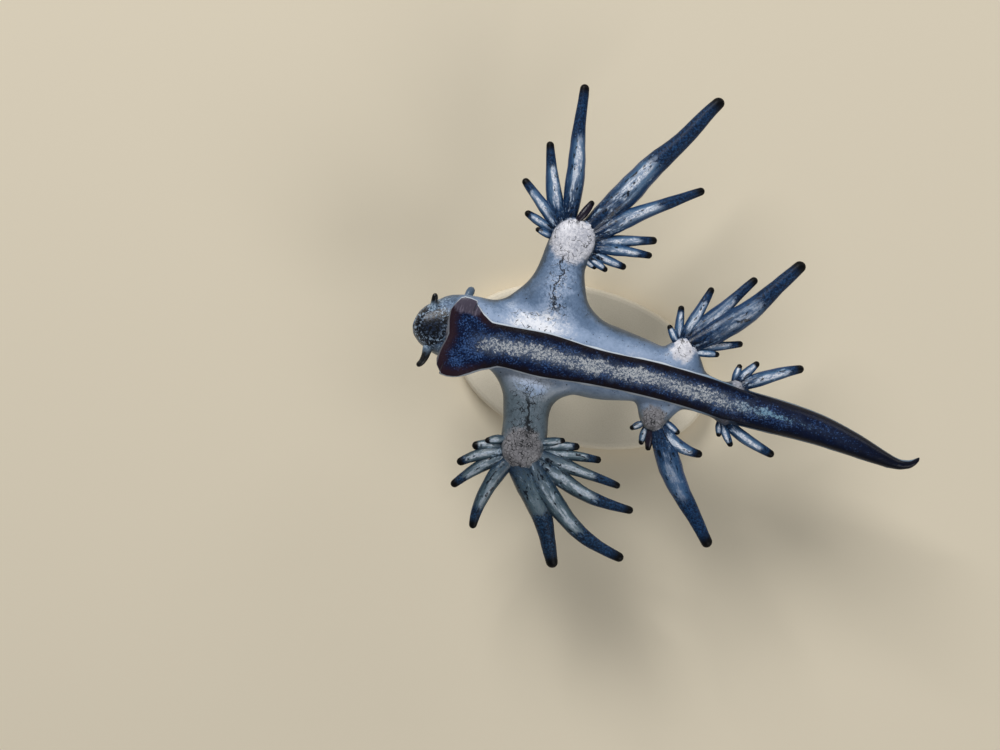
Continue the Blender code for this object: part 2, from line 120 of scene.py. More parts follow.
def smoothRows(rows, spacing):
    # rows resampled on a smooth curve through the given ones, about one every spacing
    places = [0.0]
    for before, after in zip(rows, rows[1:]):
        places.append(places[-1] + (Vector(after[:3]) - Vector(before[:3])).length)
    slopes = []
    for n in range(len(rows)):
        low, high = max(n - 1, 0), min(n + 1, len(rows) - 1)
        slopes.append([(b - a) / (places[high] - places[low]) for a, b in zip(rows[low], rows[high])])
    result = []
    for n in range(len(rows) - 1):
        run = places[n + 1] - places[n]
        steps = max(1, round(run / spacing))
        for step in range(steps):
            t = step / steps
            w0, w1 = 2 * t**3 - 3 * t**2 + 1, (t**3 - 2 * t**2 + t) * run
            w2, w3 = 3 * t**2 - 2 * t**3, (t**3 - t**2) * run
            ends = zip(rows[n], slopes[n], rows[n + 1], slopes[n + 1])
            result.append([w0 * a + w1 * b + w2 * c + w3 * d for a, b, c, d in ends])
    result.append(list(rows[-1]))
    return result


def headingsOf(centres):
    # the way the course runs at each centre, seen from above
    headings = []
    for n in range(len(centres)):
        course = centres[min(n + 1, len(centres) - 1)] - centres[max(n - 1, 0)]
        headings.append(math.atan2(course.y, course.x))
    return headings


def extrudeAlong(name, rows, spacing, sides, squareness=2.0, heading=None):
    # a ring is added at the first row, then extruded, turned and resized from row to row
    # with a heading given, all the rings face that way
    rings = smoothRows(rows, spacing)
    centres = [Vector(ring[:3]) for ring in rings]
    headings = headingsOf(centres) if heading is None else [heading] * len(centres)
    deselectAll()
    upright = (math.pi / 2, 0.0, headings[0] + math.pi / 2)
    bpy.ops.mesh.primitive_circle_add(vertices=sides, radius=1.0, location=centres[0], rotation=upright)
    shape = bpy.context.active_object
    shape.name = name
    for corner in shape.data.vertices:  # 2 leaves it round, more makes it a slab with a round rim
        x, y = corner.co.x, corner.co.y
        corner.co.x = math.copysign(abs(x) ** (2 / squareness), x)
        corner.co.y = math.copysign(abs(y) ** (2 / squareness), y)
    setMode("EDIT")
    bpy.ops.mesh.select_all(action="SELECT")
    wide, deep = rings[0][3], rings[0][4]
    bpy.ops.transform.resize(value=(wide, wide, deep), center_override=centres[0])
    for n in range(1, len(rings)):
        step = centres[n] - centres[n - 1]
        bpy.ops.mesh.extrude_region_move(TRANSFORM_OT_translate={"value": step})
        turn = headings[n] - headings[n - 1]
        if abs(turn) > 1e-4:
            bpy.ops.transform.rotate(value=-turn, orient_axis="Z", center_override=centres[n])
        wider, deeper = rings[n][3] / rings[n - 1][3], rings[n][4] / rings[n - 1][4]
        bpy.ops.transform.resize(value=(wider, wider, deeper), center_override=centres[n])
    closeEnds()
    return shape


def readVectors(items, name):
    flat = np.empty(len(items) * 3, "f")
    items.foreach_get(name, flat)
    return flat.reshape(-1, 3).astype(float)


def column(rows, number):
    return np.array([row[number] for row in rows])


def corners(mesh):
    return readVectors(mesh.vertices, "co")


def setCorners(mesh, places):
    mesh.vertices.foreach_set("co", places.astype("f").ravel())
    mesh.update()


def smoothStep(low, high, value):
    t = np.clip((value - low) / (high - low), 0, 1)
    return t * t * (3 - 2 * t)


# body
body = {
    "spine": [  # along, across, height, half width, half depth
        (-11.8, -0.1, 9.6, 0.28, 0.3), (-11.62, -0.12, 9.58, 0.8, 0.78), (-11.2, -0.1, 9.52, 1.28, 1.12),
        (-10.6, -0.05, 9.42, 1.66, 1.32), (-9.8, 0.06, 9.3, 2.08, 1.48), (-8.6, 0.38, 9.1, 2.22, 1.68),
        (-7.2, 0.44, 8.92, 2.26, 1.84), (-5, 0.55, 8.82, 2.46, 1.96), (-2, 0.62, 8.8, 2.62, 2),
        (1, 0.58, 8.88, 2.6, 1.92), (3.8, 0.68, 9.02, 2.12, 1.76), (6, 0.52, 9.22, 1.72, 1.54),
        (8, 0.26, 9.44, 1.34, 1.34), (10.3, 0.05, 9.6, 1.28, 1.18), (13, 0.03, 9.74, 1.24, 1.04),
        (16, -0.07, 9.86, 1.1, 0.9), (18.8, -0.46, 9.96, 0.84, 0.74), (20.6, -0.8, 10.02, 0.6, 0.58),
        (21.9, -0.95, 10.06, 0.42, 0.44), (22.6, -0.75, 10.08, 0.35, 0.37),
        (22.97, -0.36, 10.1, 0.27, 0.29), (23.12, 0, 10.12, 0.14, 0.15),
    ],
    "spacing": 0.8,       # between the rings of the trunk
    "sides": 32,
    "grain": 0.1,         # size of the faces of the finished skin
    "flareReach": 0.9,    # how far each side of the trunk's edge the roots of the arms are smoothed
    "flareStart": (-8.0, -6.5),
    "flarePasses": 70,
    "allPasses": 10,
    "mouth": (-11.62, -0.10, 10.05),
    "mouthSize": (0.42, 0.48, 0.10),
}
armRings = {"spacing": 0.3, "sides": 36}
arms = {
    "1_left": [
        (-2.3, 2.1, 9.05, 5.4, 1.26), (-2.3, 2.55, 9.12, 5.1, 1.26), (-2.45, 2.84, 9.17, 4.25, 1.28),
        (-2.71, 3.12, 9.21, 3.55, 1.28), (-2.96, 3.45, 9.26, 3, 1.3), (-3.08, 3.8, 9.31, 2.58, 1.3),
        (-3.12, 4.2, 9.36, 2.22, 1.28), (-3.1, 4.8, 9.4, 1.9, 1.22), (-3.12, 5.4, 9.44, 1.69, 1.14),
        (-3.16, 6.1, 9.48, 1.53, 1.08), (-3.05, 7.1, 9.52, 1.54, 1.06), (-2.93, 7.9, 9.55, 1.54, 1.02),
        (-2.88, 8.7, 9.57, 1.22, 0.84), (-2.86, 9.15, 9.58, 0.78, 0.58), (-2.86, 9.34, 9.58, 0.28, 0.24),
    ],
    "1_right": [
        (-2.95, -1.2, 9.1, 3.9, 1.26), (-3, -1.75, 9.18, 3.3, 1.26), (-3.05, -2.1, 9.24, 2.72, 1.28),
        (-3.14, -2.45, 9.28, 2.22, 1.28), (-3.16, -2.8, 9.32, 1.92, 1.24),
        (-3.12, -3.25, 9.37, 1.69, 1.18), (-2.99, -4.1, 9.42, 1.57, 1.1),
        (-2.82, -4.8, 9.46, 1.56, 1.06), (-2.71, -5.6, 9.5, 1.55, 1.04), (-2.64, -6.4, 9.52, 1.48, 1),
        (-2.62, -7.2, 9.54, 1.14, 0.8), (-2.62, -7.62, 9.55, 0.72, 0.54),
        (-2.62, -7.82, 9.55, 0.26, 0.22),
    ],
    "2_left": [
        (5.4, 0.7, 9.45, 2.8, 1.05), (5.6, 1.5, 9.52, 2.35, 1), (5.88, 2.05, 9.56, 1.82, 0.94),
        (5.98, 2.45, 9.6, 1.42, 0.86), (6.04, 2.9, 9.62, 1.05, 0.76), (6.06, 3.35, 9.63, 0.6, 0.52),
        (6.06, 3.55, 9.63, 0.22, 0.22),
    ],
    "2_right": [
        (5.35, 0, 9.45, 2.2, 1), (5.34, -1, 9.5, 1.75, 0.95), (5.3, -1.7, 9.55, 1.28, 0.88),
        (5.28, -2.3, 9.58, 0.98, 0.78), (5.28, -2.8, 9.6, 0.58, 0.52), (5.28, -3.02, 9.6, 0.22, 0.22),
    ],
    "3_left": [
        (9.95, 0.3, 9.6, 0.95, 0.7), (10.02, 1.1, 9.62, 0.72, 0.62), (10.1, 1.62, 9.64, 0.46, 0.46),
        (10.12, 1.86, 9.64, 0.18, 0.2),
    ],
    "3_right": [
        (9.75, 0.1, 9.6, 0.9, 0.7), (9.8, -0.9, 9.62, 0.7, 0.62), (9.86, -1.36, 9.64, 0.44, 0.44),
        (9.88, -1.6, 9.64, 0.18, 0.2),
    ],
}
pads = {
    "leastReach": 0.5,   # only the larger fans have one
    "wider": 0.16,       # than the radius at which the cerata leave it
    "sink": 0.60,
    "halfHeight": 0.64,
    "markWider": 0.22,   # how far its markings reach past that radius
    "smallMarkWider": 0.12,
}
hands = {  # centre of the fan along and across, radius at which the cerata leave it, height
    "1_left": (-2.93, 7.84, 1.35, 9.60),
    "1_right": (-2.64, -6.37, 1.25, 9.58),
    "2_left": (6.03, 2.72, 0.66, 9.66),
    "2_right": (5.28, -2.18, 0.70, 9.62),
    "3_left": (10.10, 1.36, 0.30, 9.66),
    "3_right": (9.84, -1.10, 0.26, 9.66),
}


def makeBody():
    pieces = [extrudeAlong("body", body["spine"], body["spacing"], body["sides"])]
    for side, rows in arms.items():
        heading = math.radians(90 if rows[-1][1] > rows[0][1] else -90)
        arm = extrudeAlong("arm_" + side, rows, armRings["spacing"], armRings["sides"], heading=heading)
        pieces.append(arm)
    for side, rows in arms.items():  # the pad in the middle of each large fan
        x, y, reach = hands[side][:3]
        if reach > pads["leastReach"]:
            top = rows[-4][2] + rows[-4][4]
            wide = reach + pads["wider"]
            pieces.append(addEllipsoid((x, y, top - pads["sink"]), (wide, wide, pads["halfHeight"])))
    pick(*pieces)
    bpy.ops.object.join()
    shape = bpy.context.active_object
    applyModifier(shape, "REMESH", mode="VOXEL", voxel_size=body["grain"], adaptivity=0.0)
    roots = shape.vertex_groups.new(name="roots")  # where the arms flare out of the trunk
    places = corners(shape.data)
    spine = smoothRows(body["spine"], 0.2)
    nearest, left = nearestOnPath(places, spine)[:2]
    edge = np.abs(left) - column(spine, 3)[nearest]
    flare = np.exp(-(edge / body["flareReach"]) ** 2) * smoothStep(*body["flareStart"], places[:, 0])
    for number, weight in enumerate(flare):
        if weight > 0.05:
            roots.add([number], float(weight), "REPLACE")
    applyModifier(shape, "SMOOTH", factor=0.5, iterations=body["flarePasses"], vertex_group="roots")
    applyModifier(shape, "SMOOTH", factor=0.5, iterations=body["allPasses"])
    shape.vertex_groups.clear()
    print("body and arms:", len(shape.data.polygons), "faces")
    return shape


def cutMouth(shape):
    slit = addEllipsoid(body["mouth"], body["mouthSize"])
    applyModifier(shape, "BOOLEAN", operation="DIFFERENCE", object=slit, solver="MANIFOLD")
    bpy.data.objects.remove(slit)


# foot
foot = {
    "rows": [
        (-9.64, -0.24, 10.68, 1.45, 0.1), (-9.58, -0.24, 10.69, 1.85, 0.18),
        (-9.44, -0.25, 10.7, 2.25, 0.25), (-9.2, -0.26, 10.71, 2.56, 0.29),
        (-8.85, -0.28, 10.72, 2.75, 0.3), (-8.35, -0.38, 10.72, 2.72, 0.3),
        (-7.8, -0.4, 10.72, 2.42, 0.3), (-7.25, -0.38, 10.72, 2, 0.3), (-6.6, -0.32, 10.72, 1.66, 0.3),
        (-5.8, -0.16, 10.72, 1.46, 0.3), (-2.8, -0.02, 10.72, 1.53, 0.3), (0.7, 0.1, 10.72, 1.26, 0.3),
        (4.7, 0.28, 10.7, 1.25, 0.3), (8.1, 0.22, 10.62, 1.24, 0.3), (9.6, 0.12, 10.52, 1.2, 0.28),
        (11.2, 0.05, 10.34, 1.02, 0.24), (12.8, 0.03, 10.1, 0.7, 0.18),
    ],
    "spacing": 0.22,
    "sides": 40,
    "squareness": 3.0,
    "lobes": [            # front lobes: middle, length, from and to across, how far the edge stands up
        (-8.6, 0.9, 0.9, 2.5, 0.22), (-8.5, 0.8, -1.4, -3, 0.066),
    ],
    "waves": [(0.03, 1.7, 0.6), (0.02, 4.1, 0.0)],   # of the side edges: height, rate, start
    "wavesFrom": (0.6, 1.3),   # how far from the middle they start, and are full
    "notch": (0.28, -0.35, 0.8, -8.6, -9.4),   # in the front edge: depth, middle, width, from and to
    "frontEnd": -7.5,
    "tailStart": 8.5,
    "soleOnTail": [       # along, across, height, half width: the sole's outline past the foot's end
        (10.3, 0.05, 9.6, 1.26), (13, 0.03, 9.74, 1.22), (16, -0.07, 9.86, 1.08),
        (18.8, -0.46, 9.96, 0.83), (20.6, -0.8, 10.02, 0.59), (21.9, -0.95, 10.06, 0.41),
        (22.6, -0.75, 10.08, 0.34), (22.97, -0.36, 10.1, 0.26), (23.12, 0, 10.12, 0.14),
    ],
}


def frontNotchAt(x, y):
    depth, middle, width, start, full = foot["notch"]
    return depth * np.exp(-((y - middle) / width) ** 2) * smoothStep(start, full, x)


def makeFoot():
    shape = extrudeAlong("foot", foot["rows"], foot["spacing"], foot["sides"], foot["squareness"])
    places = corners(shape.data)
    x, y = places[:, 0], places[:, 1]
    places[:, 2] += sum(lift * (np.exp(-((x - middle) / size) ** 2) * smoothStep(inner, outer, y))
                        for middle, size, inner, outer, lift in foot["lobes"])
    across = y - np.interp(x, column(foot["rows"], 0), column(foot["rows"], 1))
    places[:, 0] += frontNotchAt(x, y)
    wave = sum(height * np.sin(x * rate + start) for height, rate, start in foot["waves"])
    places[:, 1] += wave * np.sign(across) * smoothStep(*foot["wavesFrom"], np.abs(across))
    setCorners(shape.data, places)
    print("foot:", len(shape.data.polygons), "faces")
    return shape


# feelers
feelerRings = {"spacing": 0.12, "sides": 20}
feelers = {  # along, across, height, half width, half depth
    "oralLeft": [
        (-10.66, 0.4, 10, 0.4, 0.36), (-10.72, 1.05, 10.2, 0.33, 0.32), (-10.8, 1.55, 10.34, 0.22, 0.24),
        (-10.83, 1.82, 10.42, 0.21, 0.22), (-10.85, 2.02, 10.47, 0.15, 0.16),
        (-10.86, 2.09, 10.49, 0.06, 0.06),
    ],
    "oralRight": [
        (-10.4, -0.7, 9.75, 0.42, 0.38), (-10.44, -1.55, 9.82, 0.34, 0.32),
        (-10.46, -2.1, 9.88, 0.27, 0.26), (-10.58, -2.55, 9.92, 0.22, 0.22),
        (-10.78, -2.82, 9.94, 0.16, 0.16), (-10.84, -2.88, 9.94, 0.06, 0.06),
    ],
    "rhinophoreLeft": [
        (-8.9, 1.2, 8.8, 0.42, 0.4), (-8.82, 1.95, 8.45, 0.38, 0.36), (-8.74, 2.55, 8.2, 0.28, 0.28),
        (-8.68, 2.9, 8.06, 0.28, 0.28), (-8.63, 3.1, 7.98, 0.21, 0.21), (-8.61, 3.19, 7.95, 0.08, 0.08),
    ],
    "rhinophoreRight": [
        (-9.25, -0.8, 8.8, 0.42, 0.4), (-9.1, -1.5, 8.45, 0.36, 0.34), (-8.92, -2.2, 8.15, 0.26, 0.26),
        (-8.82, -2.55, 8, 0.27, 0.27), (-8.75, -2.8, 7.9, 0.2, 0.2), (-8.73, -2.88, 7.87, 0.08, 0.08),
    ],
}


def makeFeelers():
    made = [extrudeAlong(name, rows, feelerRings["spacing"], feelerRings["sides"])
            for name, rows in feelers.items()]
    print("feelers:", len(made))
    return made


# cerata
cerata = {
    "fans": {  # bearing of the root, bearing toward the tip, length, width, bend, rise of the root
        "1_left": [
            (-175, 168, 1.3, 0.5, 0, 0.15), (170, 159, 2.4, 0.67, 0, 0), (154, 139, 4, 0.87, 0, 0.1),
            (138, 113, 5.6, 1.12, 0.04, -0.1), (113, 99, 9.2, 1.28, 0, 0.05),
            (92, 67, 1.7, 0.56, 0, 0.45), (53, 58.8, 12.45, 1.78, 0, -0.05),
            (26, 37.5, 8.1, 1.18, 0.03, 0.1), (9, 18, 4.3, 0.9, 0, -0.05), (-7, 8, 4.05, 0.8, 0.03, 0.1),
            (-22, -6, 2.65, 0.66, 0, 0), (-33, -20, 1.7, 0.54, 0, 0.12), (-44, -23, 1.1, 0.5, 0, 0),
        ],
        "1_right": [
            (165, -158, 1.4, 0.64, 0, 0.3), (-175, -163, 2.1, 0.8, 0, 0.02),
            (-155, -150, 3.2, 0.86, -0.07, 0.1), (-137, -137, 4.1, 0.93, -0.05, -0.05),
            (-120, -103, 5.1, 1.14, -0.09, 0.1), (-86, -56, 7.2, 1.72, 0.05, -0.05),
            (-40, -32, 8.8, 1.42, -0.1, 0.08), (-20, -14, 7.3, 1.2, -0.07, -0.08),
            (-6, -7, 5.8, 0.98, 0, 0.1), (6, 6, 4.1, 0.82, 0, -0.05), (19, 15, 2.6, 0.72, 0, 0.12),
            (33, 18, 1.7, 0.66, 0, 0.3),
        ],
        "2_left": [
            (150, 126, 1.3, 0.54, 0, 0.2), (134, 100, 2.4, 0.62, 0, 0), (113, 74, 4.1, 0.82, 0, 0.1),
            (85, 56, 6.3, 1.12, 0, -0.05), (51, 51, 9.3, 1.68, -0.05, 0.08),
            (22, 21, 3.4, 0.66, 0, -0.05), (2, 10, 1.8, 0.54, 0, 0.1),
        ],
        "2_right": [
            (-138, -141, 1, 0.5, 0, 0.1), (-114, -92, 1.3, 0.54, 0, -0.1),
            (-88, -82, 1.5, 0.56, 0, 0.12), (-52, -51, 8.7, 1.6, -0.03, 0),
            (-22, -22, 3.4, 0.88, -0.13, 0.1), (0, -23, 1.4, 0.54, 0, 0.05),
        ],
        "3_left": [
            (150, 84, 1.3, 0.52, 0, 0), (95, 57, 1.9, 0.64, 0, 0.08), (5, 30, 4.4, 1, 0.04, 0),
        ],
        "3_right": [
            (-160, -78, 1.1, 0.5, 0, 0), (-110, -52, 1.7, 0.56, 0, 0.08),
            (-25, -20, 3.9, 0.86, -0.03, 0),
        ],
    },
    # half widths from the root to the tip, as shares of the greatest
    "slender": [(0.0, 0.66), (0.10, 0.84), (0.22, 0.97), (0.34, 1.0), (0.46, 0.93), (0.56, 0.80),
                (0.66, 0.71), (0.78, 0.62), (0.90, 0.54), (1.0, 0.47)],
    "broad": [(0.0, 0.86), (0.10, 0.97), (0.22, 1.0), (0.34, 0.95), (0.46, 0.87), (0.56, 0.79),
              (0.66, 0.71), (0.78, 0.62), (0.90, 0.53), (1.0, 0.46)],
    "stubby": [(0.0, 0.62), (0.15, 0.82), (0.40, 1.0), (0.70, 0.96), (1.0, 0.70)],
    "stubbyLengths": (2.0, 6.0),
    "rings": (-0.12, 0.0, 0.05, 0.10, 0.16, 0.22, 0.28, 0.34, 0.40, 0.46, 0.51, 0.56, 0.61, 0.66, 0.72,
              0.78, 0.84, 0.90, 0.95, 1.0),
    "tipAngles": (20, 40, 58, 74, 84),
    "sides": 20,
    "flatness": 0.94,     # depth of the section over its width
    "sink": 0.75,         # how far the root goes into the pad
    "smallSink": 0.45,
    "droop": 0.045,       # fall and rise of the tip, as shares of the length
    "sway": 0.05,
    "swayTurn": 2.2,
    "swell": [(0.025, 1.9), (0.015, 4.3)],   # unevenness of the width: amount, rate
    "weave": (0.035, 1.1),                   # and of the course
    # the two small dark ones lie on the lower row and are painted dark brown as shade
    "shadedBrown": {("1_left", 5), ("2_right", 2)},     # the two small dark ones
    "dim": {  # how bright the silver is where it isn't full
        ("1_right", 5): 0.12, ("1_right", 4): 0.45, ("1_right", 3): 0.7, ("1_right", 6): 0.8,
        ("2_right", 3): 0.22, ("2_left", 4): 0.40, ("2_left", 3): 0.60, ("1_left", 4): 0.90,
    },
    "silverEnd": (0.88, 0.034),   # share of the length, and how much less for each millimetre of it
    "silverSpread": 0.03,         # how far that varies
    "silverTurn": 0.3,            # the silver doesn't run quite along the top
    "darkSooner": {("1_right", 5): -0.13},
    "blackTip": (0.32, 0.10),     # its length, from the width and besides
    "streakShare": 0.3,           # the streaks are drawn out along the ceras by this
}


def bearing(degrees):
    return np.array([math.cos(math.radians(degrees)), math.sin(math.radians(degrees)), 0])


def makeBlank():
    # one ceras along X: its length is 1 from the root to where the round tip begins
    sections = [(share, np.interp(share, *zip(*cerata["slender"]))) for share in cerata["rings"]]
    tip = cerata["slender"][-1][1]
    for degrees in cerata["tipAngles"]:
        angle = math.radians(degrees)
        sections.append((1.0 + tip * math.sin(angle), tip * math.cos(angle)))
    deselectAll()
    bpy.ops.mesh.primitive_circle_add(vertices=cerata["sides"], radius=sections[0][1],
                                      location=(sections[0][0], 0, 0), rotation=(0, math.pi / 2, 0))
    blank = bpy.context.active_object
    blank.name = "ceras_blank"
    setMode("EDIT")
    bpy.ops.mesh.select_all(action="SELECT")
    for (before, wide), (share, wider) in zip(sections, sections[1:]):
        bpy.ops.mesh.extrude_region_move(TRANSFORM_OT_translate={"value": (share - before, 0, 0)})
        grow = wider / wide
        bpy.ops.transform.resize(value=(1, grow, grow), center_override=(share, 0, 0))
    closeEnds()
    return blank


def setMark(mesh, name, values):
    # one vector for each face corner, so that a border between two joined pieces stays sharp
    which = np.empty(len(mesh.loops), "i")
    mesh.loops.foreach_get("vertex_index", which)
    mark = mesh.attributes.new(name, "FLOAT_VECTOR", "CORNER")
    mark.data.foreach_set("vector", np.asarray(values, "f")[which].ravel())


def layCeras(blank, side, number, entry):
    # a copy of the blank, laid along its own course with its own length, width and bend
    centreX, centreY, reach, height = hands[side]
    rootBearing, tipBearing, length, width, bend, rise = entry
    draw = random.Random(f"{side} {number}")
    sink = cerata["sink" if reach > pads["leastReach"] else "smallSink"]
    out, course = bearing(rootBearing), bearing(tipBearing)
    left = np.array([-course[1], course[0], 0])
    mouth = np.array([centreX, centreY, height + rise]) + out * reach
    lift = length * (cerata["sway"] * math.sin(cerata["swayTurn"] * number) - cerata["droop"])

    mesh = blank.data.copy()
    places = corners(mesh)
    share, y, z = places[:, 0].copy(), places[:, 1], places[:, 2]
    wanted = "broad" if side == "1_right" else "slender"
    slenderAt, wantedAt, stubbyAt = [np.interp(share, *zip(*cerata[kind]))
                                     for kind in ("slender", wanted, "stubby")]
    stubbiness = 1 - smoothStep(*cerata["stubbyLengths"], np.array(length))
    part = (wantedAt + stubbiness * (stubbyAt - wantedAt)) / slenderAt
    tipPart = part[np.argmax(share)]
    tip = (cerata["slender"][-1][1] * tipPart) * width / 2
    inTip = np.maximum(share - 1, 0) * width / 2 * tipPart
    inRoot = share / -cerata["rings"][0] * sink
    along = np.where(share > 0, np.minimum(share, 1) * (length - tip) + inTip, inRoot)
    t = np.clip(along / length, 0, 1)
    swell = 1
    for amount, rate in cerata["swell"]:
        swell = swell + amount * np.sin(along * rate + draw.uniform(0, 6))
    amount, rate = cerata["weave"]
    weave = amount * width * np.sin(along * rate + draw.uniform(0, 6)) * smoothStep(0.0, 0.4, t)
    radius = width / 2 * part * swell
    bow = 4 * t * (1 - t) * bend * length + weave
    rootCourse = out * 0.6 + course * 0.4
    axis = mouth + np.outer(np.maximum(along, 0), course) + np.outer(np.minimum(along, 0), rootCourse)
    axis += np.outer(bow, left)
    axis[:, 2] += lift * t**1.5
    # the section leans with the bow, so that it stays square to the course
    slope = 4 * (1 - 2 * t) * bend * (along > 0)
    lean = 1 / np.sqrt(1 + slope**2)
    wide = (left[None, :] - slope[:, None] * course[None, :]) * lean[:, None]
    laid = axis + wide * (y * radius)[:, None]
    laid[:, 2] += z * radius * cerata["flatness"]
    setCorners(mesh, laid)

    share, sooner = cerata["silverEnd"]
    silverEnd = share - sooner * length + draw.uniform(-cerata["silverSpread"], cerata["silverSpread"])
    silverEnd += cerata["darkSooner"].get((side, number), 0.0)
    size = np.hypot(y, z)
    turned = draw.uniform(-cerata["silverTurn"], cerata["silverTurn"])
    around = np.arctan2(y, z) - turned * smoothStep(0.1, 0.6, t)
    up = np.where(size > 1e-6, np.cos(around), 1.0)
    one = np.ones_like(along)
    fromWidth, besides = cerata["blackTip"]
    blackTip = 1 - (fromWidth * width + besides) / length
    shadedBrown = 1.0 if (side, number) in cerata["shadedBrown"] else 0.0
    glow = cerata["dim"].get((side, number), 1.0)
    setMark(mesh, "cerasRun", np.stack([along / length, up, silverEnd * one], 1))
    setMark(mesh, "cerasKind", np.stack([blackTip * one, glow * one, shadedBrown * one], 1))
    # the corners of the ceras before it was laid, drawn together lengthwise, for streaks along it
    way = cerata["streakShare"] * along + draw.uniform(0, 90)
    setMark(mesh, "cerasWay", np.stack([way, y * radius, z * radius], 1))
    return addObject(f"ceras_{side}_{number}", mesh)


def makeCerata():
    blank = makeBlank()
    laid = []
    for side, fan in cerata["fans"].items():
        for number, entry in enumerate(fan):
            laid.append(layCeras(blank, side, number, entry))
    bpy.data.objects.remove(blank)
    print("cerata:", len(laid), "of", len(laid[0].data.polygons), "faces each")
    return laid


# markings: low, soft fields on the skin, which the materials break up into flecks and cracks
def nearestOnPath(places, path):
    # for each place its nearest sample of the path, and how far to the left and ahead of it it lies
    samples = np.array([row[:2] for row in path])
    course = np.gradient(samples, axis=0)
    course /= np.linalg.norm(course, axis=1)[:, None]
    nearest = np.empty(len(places), int)
    many = 20000  # at a time, to spare memory
    for start in range(0, len(places), many):
        block = places[start:start + many, None, :2] - samples[None]
        nearest[start:start + many] = np.argmin((block**2).sum(2), 1)
    offset = places[:, :2] - samples[nearest]
    left = course[nearest, 0] * offset[:, 1] - course[nearest, 1] * offset[:, 0]
    ahead = (course[nearest] * offset).sum(1)
    return nearest, left, ahead


def markSole(places, normals):
    # how far inside the sole's outline, how far left of its middle, and how far the skin faces up
    rows = [row[:4] for row in foot["rows"] if row[0] < foot["tailStart"]]
    path = smoothRows(rows + foot["soleOnTail"], 0.05)
    nearest, left = nearestOnPath(places, path)[:2]
    wide = column(path, 3)[nearest]
    inside = wide - np.abs(left)
    x, y = places[:, 0], places[:, 1]
    front = foot["rows"][0][0] + frontNotchAt(foot["rows"][0][0], y)
    inside = np.where(x < foot["frontEnd"], np.minimum(inside, (x - front) * 1.1), inside)
    return np.stack([inside, left, normals[:, 2]], 1)


def markArms(places):
    # how far left of the nearest arm's middle, how far out along it, and how far inside a pad
    closest = np.full(len(places), 9.0)
    middle, outward = np.full(len(places), 9.0), np.zeros(len(places))
    for rows in arms.values():
        path = smoothRows(rows, 0.1)
        nearest, left, ahead = nearestOnPath(places, path)
        run = np.abs(column(path, 1)[nearest])
        size = column(path, 3)[nearest]
        near = np.hypot(left, ahead) / size
        better = near < closest
        closest = np.where(better, near, closest)
        middle = np.where(better, left, middle)
        outward = np.where(better, run, outward)
    pad = np.full(len(places), -9.0)
    for x, y, reach, _ in hands.values():
        radius = reach + pads["markWider" if reach > pads["leastReach"] else "smallMarkWider"]
        pad = np.maximum(pad, radius - np.hypot(places[:, 0] - x, places[:, 1] - y))
    return np.stack([middle, outward, pad], 1)


tones = {  # middle along and across, reach along and across
    "leftShoulder": (-4.0, 2.0, 1.9, 0.9),
    "rightShoulder": (-3.2, -2.2, 1.3, 0.8),
    "rightBrightness": 0.8,
    "crown": (-10.45, -0.05, 1.05, 1.02),
    "crownSize": 1.45,
    "lobe": (-8.55, 1.05, 0.9, 1.7),   # middle and reach along, from and to across
}


def markTones(places):
    # the bright shoulders, the dark crown of the head and the grey front lobe of the foot
    x, y = places[:, 0], places[:, 1]

    def offset(name):
        along, across, reach, width = tones[name]
        return (x - along) / reach, (y - across) / width

    left, right = [np.exp(-a ** 2 - b ** 2) for a, b in (offset("leftShoulder"), offset("rightShoulder"))]
    shoulder = np.maximum(left, tones["rightBrightness"] * right)
    crown = tones["crownSize"] - np.hypot(*offset("crown"))
    middle, reach, inner, outer = tones["lobe"]
    lobe = np.exp(-((x - middle) / reach) ** 4) * smoothStep(inner, outer, y)
    return np.stack([shoulder, crown, lobe], 1)


def markFlesh(shape, kind):
    # kind: 0 body, 1 foot, 2 oral tentacles, 3 rhinophores
    mesh = shape.data
    places, normals = corners(mesh), readVectors(mesh.vertex_normals, "vector")
    setMark(mesh, "sole", markSole(places, normals))
    setMark(mesh, "arm", markArms(places))
    setMark(mesh, "tone", markTones(places))
    reach = np.zeros(len(places))
    if kind > 1:
        reach = np.abs(places[:, 1])
        reach = (reach - 1.0) / (reach.max() - 1.0)
    kinds = np.full(len(places), float(kind))
    setMark(mesh, "part", np.stack([kinds, reach, kinds], 1))


def joinSkin(shape, others):
    gathered = bpy.data.collections.new("gathered")
    bpy.context.scene.collection.children.link(gathered)
    for other in others:
        for holder in list(other.users_collection):
            holder.objects.unlink(other)
        gathered.objects.link(other)
    applyModifier(shape, "BOOLEAN", operation="UNION", operand_type="COLLECTION",
                  collection=gathered, solver="MANIFOLD", material_mode="TRANSFER")
    for other in list(gathered.objects):
        bpy.data.objects.remove(other)
    bpy.data.collections.remove(gathered)


joins = {"leastEdge": 0.004, "passes": 2, "easing": 0.5}


def softenJoins(shape):
    # the creases where the cerata leave the flesh are eased
    mesh = bmesh.new()
    mesh.from_mesh(shape.data)
    bmesh.ops.dissolve_degenerate(mesh, dist=joins["leastEdge"], edges=mesh.edges)
    bmesh.ops.triangulate(mesh, faces=[face for face in mesh.faces if len(face.verts) > 4])
    seam = {corner for edge in mesh.edges if len({face.material_index for face in edge.link_faces}) > 1
            for corner in edge.verts}
    everyWay = {"use_axis_x": True, "use_axis_y": True, "use_axis_z": True}
    for _ in range(joins["passes"]):
        bmesh.ops.smooth_vert(mesh, verts=list(seam), factor=joins["easing"], **everyWay)
    mesh.to_mesh(shape.data)
    mesh.free()


# materials
def colour(code):
    # a web colour as linear light
    values = [int(code[n:n + 2], 16) / 255 for n in (1, 3, 5)]
    linear = [v / 12.92 if v <= 0.04045 else ((v + 0.055) / 1.055) ** 2.4 for v in values]
    return (*linear, 1.0)


